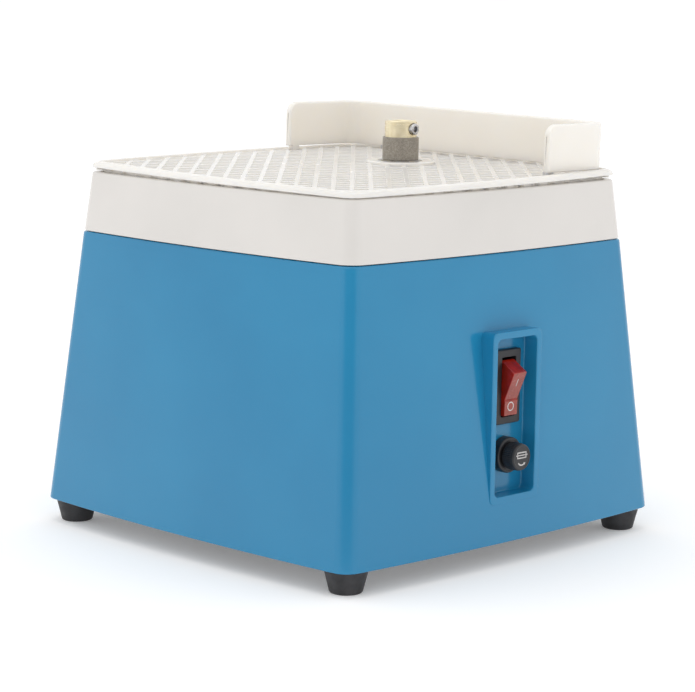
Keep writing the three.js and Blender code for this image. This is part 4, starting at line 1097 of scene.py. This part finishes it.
def makeTable():
    s = tableSizes
    low, top = s["rimBase"], s["rimBase"] + s["rimHeight"]
    gridTop, under = top - s["gridDrop"], top - s["gridDrop"] - s["gridDepth"]
    quarter = quarterTurn(8)
    short = quarter[::2]

    def ring(half, z, corner):
        return at(bowedOutline(half, corner, s["bow"]), z)

    e, outer = s["edge"], s["rimHalf"] - s["rimTopHalf"]
    neckLow, neckIn = low - s["neckDepth"], s["neckHalf"] - s["neckWall"]
    inner, pocket = s["rimInnerHalf"], s["pocketCorner"]
    rings = [ring(s["rimHalf"] - 0.3, low, s["corner"])]
    rings += [ring(s["rimTopHalf"] + outer * math.cos(a), low + 0.15 + (s["rimHeight"] - 0.15) * math.sin(a),
                   s["corner"]) for a in quarter]
    rings += [ring(inner + e * (1 - math.sin(a)), top - e * (1 - math.cos(a)), pocket) for a in short]
    rings += [ring(inner, gridTop, pocket), ring(inner, under, pocket), ring(neckIn, under, pocket)]
    rings += [ring(neckIn, neckLow + 0.3, pocket), ring(neckIn + 0.3, neckLow, pocket)]
    neck, corner = s["neckHalf"], s["corner"]
    rings += [ring(neck - 0.3, neckLow, corner), ring(neck, neckLow + 0.3, corner)]
    rings += [ring(neck, low, corner), rings[0]]
    # the table is the white plastic painted lighter and warmer, as painted bounce light
    table = skinned("worktable", "ivoryPlastic", rings)

    holder = bpy.data.meshes.new("lattice")
    lattice = bpy.data.objects.new("lattice", holder)
    bpy.context.scene.collection.objects.link(lattice)
    tree, names = latticeTree()
    runTree(lattice, tree, names, {
        "Spacing": s["barSpacing"], "Bar Width": s["barWidth"], "Bar Depth": s["gridDepth"],
        "Edge": s["barEdge"], "Half Diagonal": inner * math.sqrt(2), "Bulge": s["bow"] * math.sqrt(2),
        "Straight Share": 1 - pocket / inner, "Overrun": s["overrun"], "Bars": s["bars"], "Top": gridTop,
    })
    y = s["spindleY"]
    collarTop = gridTop + s["collarHeight"]
    c, hole = s["collar"], s["bitHole"]
    combine(lattice, rodTool(2, under - 1, collarTop + 1, (c + hole) / 2, 0, y), "DIFFERENCE")
    profile = [(hole, under - 0.05), (c, under - 0.05), (c, collarTop - 0.5)]
    profile += [(c - 0.5 * (1 - math.cos(a)), collarTop - 0.5 + 0.5 * math.sin(a)) for a in short[1:]]
    profile += [(hole + 0.4 * (1 - math.sin(a)), collarTop - 0.4 * (1 - math.cos(a))) for a in short]
    profile.append(profile[0])
    combine(lattice, skinned("tool", "ivoryPlastic", turnedRings(profile, 120, 0, y)), "UNION")
    combine(table, lattice, "UNION")
    play = guardSizes["pegPlay"]
    for px, py, sx, sy in guardPegs():
        tool = boxTool((px - sx / 2 - play, py - sy / 2 - play, under - 1),
                       (px + sx / 2 + play, py + sy / 2 + play, gridTop + 1))
        combine(table, tool, "DIFFERENCE")
    leaned(table.data)
    placePiece(table, "table", ["worktable"])


def makeGuard():
    s, t = guardSizes, tableSizes
    base = t["rimBase"] + t["rimHeight"] - t["gridDrop"] + s["lift"]
    half = s["wall"] / 2
    line, bend = s["half"] - half, s["corner"] - half
    big, small = s["frontRound"], s["edge"]
    # stations along the wall: place, direction across it, how far from the nearer free end
    stations = []
    ends = [s["half"] - s["leftWing"], s["half"] - s["rightWing"]]
    corner = line - bend
    close = [0.0]
    close += [small * (1 - math.cos(math.pi / 2 * i / 4)) for i in range(1, 5)]
    close += [big * (1 - math.cos(math.pi / 2 * i / 10)) for i in range(1, 11)
              if big * (1 - math.cos(math.pi / 2 * i / 10)) > small * 1.1]

    def wing(side, end):
        run = [(side * line, end + d, side, 0, d) for d in close]
        stretch = corner - end - big
        run += [(side * line, end + big + stretch * i / 6, side, 0, 99) for i in range(1, 7)]
        return run

    stations += wing(-1, ends[0])
    stations += [(-corner - bend * math.cos(a), corner + bend * math.sin(a), -math.cos(a), math.sin(a), 99)
                 for a in [math.pi / 2 * i / 8 for i in range(1, 8)]]
    stations += [(-corner + 2 * corner * i / 16, line, 0, 1, 99) for i in range(17)]
    stations += [(corner + bend * math.sin(a), corner + bend * math.cos(a), math.sin(a), math.cos(a), 99)
                 for a in [math.pi / 2 * i / 8 for i in range(1, 8)]]
    stations += wing(1, ends[1])[::-1]
    steps = quarterTurn(4)
    rings = []
    for x, y, nx, ny, d in stations:
        high = s["height"]
        if d < big:
            high -= big - math.sqrt(big * big - (big - d) ** 2)
        thick = half
        if d < small:
            thick -= small - math.sqrt(small * small - (small - d) ** 2)
        f = s["foot"]
        section = [(thick - f * (1 - math.sin(a)), f * (1 - math.cos(a))) for a in steps]
        section += [(thick - small * (1 - math.cos(a)), high - small + small * math.sin(a)) for a in steps]
        section += [(-o, h) for o, h in section[::-1]]
        rings.append([(x + nx * o, y + ny * o, base + h) for o, h in section])
    # the guard is the white plastic painted lighter and warmer, as painted bounce light and glow
    guard = skinned("splashGuard", "ivoryPlastic", rings, True, 0.0005)
    for px, py, sx, sy in guardPegs():
        peg = boxTool((px - sx / 2, py - sy / 2, base - s["pegDepth"]),
                      (px + sx / 2, py + sy / 2, base + 1))
        combine(guard, peg, "UNION")
    pivot = Matrix.Translation((s["half"], s["half"], base))
    tipX, tipY = (math.radians(a) for a in s["tip"])
    tipped = Matrix.Rotation(tipY, 4, "Y") @ Matrix.Rotation(tipX, 4, "X")
    guard.data.transform(pivot @ tipped @ pivot.inverted())
    leaned(guard.data)
    placePiece(guard, "guard", ["splash_guard"])


makeTable()
makeGuard()
print("worktable and guard are in")


# ---- spindle and bit

bitSizes = {
    "y": 30.0, "low": 161.4, "core": 7.05, "coreHeight": 17.4, "chamfer": 0.55, "bore": 4.3,
    "sleeve": 8.05, "sleeveBore": 7.1, "sleeveHeight": 10.2, "sleeveEdge": 0.25,
    "screw": 2.5, "screwFromTop": 3.5, "screwTurn": 5.0, "screwProud": 1.5, "hex": 2.5, "hexDepth": 2.2,
    "shaft": 4.0, "shaftLow": 22.8, "shaftTop": 176.6,
    "slinger": 17.0, "slingerWall": 2.0, "slingerLow": 145.8, "slingerTop": 153.8, "pipeTop": 150.2,
}


def makeBit():
    s = bitSizes
    y, low, top = s["y"], s["low"], s["low"] + s["coreHeight"]
    core, c, bore = s["core"], s["chamfer"], s["bore"]
    profile = [(bore, low), (core - 0.2, low), (core, low + 0.2), (core, top - c),
               (core - 0.12, top - c * 0.62), (core - c, top), (bore + 0.35, top), (bore, top - 0.35),
               (bore, low)]
    piece = skinned("bitCore", "brass", turnedRings(profile, 128, 0, y))
    z = top - s["screwFromTop"]
    turn = math.radians(s["screwTurn"])
    spin = Matrix.Translation((0, y, z)) @ Matrix.Rotation(turn, 4, "Z")
    hole = rodTool(0, 0, core + 3, s["screw"] + 0.22, count=48)
    hole.data.transform(spin)
    combine(piece, hole, "DIFFERENCE")
    placePiece(piece, "bit", ["bit_core"])

    r, b, e, high = s["sleeve"], s["sleeveBore"], s["sleeveEdge"], low + s["sleeveHeight"]
    profile = [(b, low), (r - e, low), (r, low + e), (r, high - e), (r - e, high), (b, high), (b, low)]
    sleeve = skinned("diamondSleeve", "diamondGrit", turnedRings(profile, 128, 0, y))
    placePiece(sleeve, "bit", ["diamond_sleeve"])

    # set screw with a hexagon socket
    outer, r = core + s["screwProud"], s["screw"]
    apothem = s["hex"] / 2
    hexagon = []
    for i in range(48):
        a = 2 * math.pi * i / 48
        k = apothem / math.cos((a + math.pi / 6) % (math.pi / 3) - math.pi / 6)
        hexagon.append((k * math.cos(a), k * math.sin(a)))
    profile = [(r - 0.3, bore + 0.2), (r, bore + 0.5), (r, outer - 0.4), (r - 0.12, outer - 0.15),
               (r - 0.4, outer)]
    rings = [[(x, p, q) for p, q in circle(radius, 48)] for radius, x in profile]
    rings.append([(outer, p * 1.12, q * 1.12) for p, q in hexagon])
    rings.append([(outer - 0.2, p, q) for p, q in hexagon])
    rings.append([(outer - s["hexDepth"], p, q) for p, q in hexagon])
    screw = skinned("bitSetScrew", "steel", rings, True, 0.0005)
    screw.data.transform(spin)
    placePiece(screw, "bit", ["bit_set_screw"])


def makeSpindle():
    s = bitSizes
    r, low, top = s["shaft"], s["shaftLow"], s["shaftTop"]
    profile = [(r - 0.6, low), (r, low + 0.6), (r, top - 0.6), (r - 0.15, top - 0.2), (r - 0.6, top)]
    shaft = skinned("spindleShaft", "steel", turnedRings(profile, 64, 0, s["y"]), True)
    placePiece(shaft, "spindle", ["spindle_shaft"])

    outer, inner = s["slinger"], s["slinger"] - s["slingerWall"]
    low, top, hub, step = s["slingerLow"], s["slingerTop"], r + seatGap, s["pipeTop"] + 0.8
    profile = [(hub, step), (r + 4, step), (r + 4, top - 2), (inner, top - 2), (inner, low),
               (outer - 0.5, low), (outer, low + 0.5), (outer, top - 1.2), (outer - 0.35, top - 0.35),
               (outer - 1.2, top), (hub, top), (hub, step)]
    slinger = skinned("waterSlinger", "rubber", turnedRings(profile, 96, 0, s["y"]))
    placePiece(slinger, "spindle", ["water_slinger"])


makeSpindle()
makeBit()
print("spindle and bit are in")


# ---- feet and cord gland

footSizes = {
    "offset": 85.5, "height": 9.6, "top": 9.1, "bottom": 7.0, "edge": 1.3, "lip": 0.35,
    "socket": 4.1, "socketDepth": 4.0, "bore": 2.3,
}
glandSizes = {
    "x": 55.0, "z": 33.9, "barrel": 5.9, "flange": 9.0, "bore": 3.6,
    "inner": 86.8, "wall": 95.0, "washer": 98.3, "hexLow": 98.6, "hexHigh": 101.0, "tip": 102.37,
}


def makeFeet():
    s = footSizes
    e, h, b = s["edge"], s["height"], s["bottom"]
    profile = [(s["socket"], 0)]
    profile += [(b - e * (1 - math.sin(a)), e * (1 - math.cos(a))) for a in quarterTurn(5)]
    profile += [(b + (s["top"] - b) * t, e + (h - e) * t) for t in (0.3, 0.6, 0.9)]
    profile += [(s["top"], h - s["lip"]), (s["top"] - s["lip"], h), (s["bore"], h),
                (s["bore"], s["socketDepth"]), (s["socket"], s["socketDepth"]), (s["socket"], 0)]
    rings = turnedRings([(a * mm, c * mm) for a, c in profile], 72)
    one = skinned("one", "rubber", rings, distance=0.000001)
    signs = {"front_left": (-1, -1), "front_right": (1, -1), "rear_right": (1, 1), "rear_left": (-1, 1)}
    points = [(x * s["offset"] * mm, y * s["offset"] * mm, 0) for x, y in signs.values()]
    feet = copyOnPoints("feet", one, points, "rubber")
    feet.data.transform(Matrix.Scale(1 / mm, 4))
    placePiece(feet, "base", ["foot_" + name for name in signs])


def makeGland():
    s = glandSizes
    bore, inner, barrel, wall = s["bore"], s["inner"], s["barrel"], s["wall"]
    flange, low, high, tip = s["flange"], s["hexLow"], s["hexHigh"], s["tip"]

    def plain(radius):
        return circle(radius, 96)

    # hexagon with its corners turned round
    def six(radius):
        points = []
        for x, y in circle(1, 96):
            a = (math.atan2(y, x) + math.pi / 6) % (math.pi / 3) - math.pi / 6
            reach = radius * min(1, 1.02 * math.cos(math.pi / 6) / math.cos(a))
            points.append((x * reach, y * reach))
        return points

    sections = [(plain(bore), inner), (plain(barrel - 0.4), inner), (plain(barrel), inner + 0.4),
                (plain(barrel), wall), (plain(8.4), wall), (plain(8.4), s["washer"] - 0.4),
                (plain(8.0), s["washer"]), (six(flange - 0.5), low), (six(flange), low + 0.4),
                (six(flange), high - 0.4), (six(flange - 0.6), high), (plain(barrel), high),
                (plain(barrel), tip - 0.9), (plain(barrel - 0.3), tip - 0.3), (plain(barrel - 0.9), tip),
                (plain(bore + 0.6), tip), (plain(bore), tip - 0.6), (plain(bore), inner)]
    rings = [[(p + s["x"], y, q + s["z"]) for p, q in points] for points, y in sections]
    gland = skinned("cordGland", "blackPlastic", rings, distance=0.0005)
    placePiece(gland, "base", ["cord_gland"])


makeFeet()
makeGland()
print("feet and cord gland are in")

print("done")
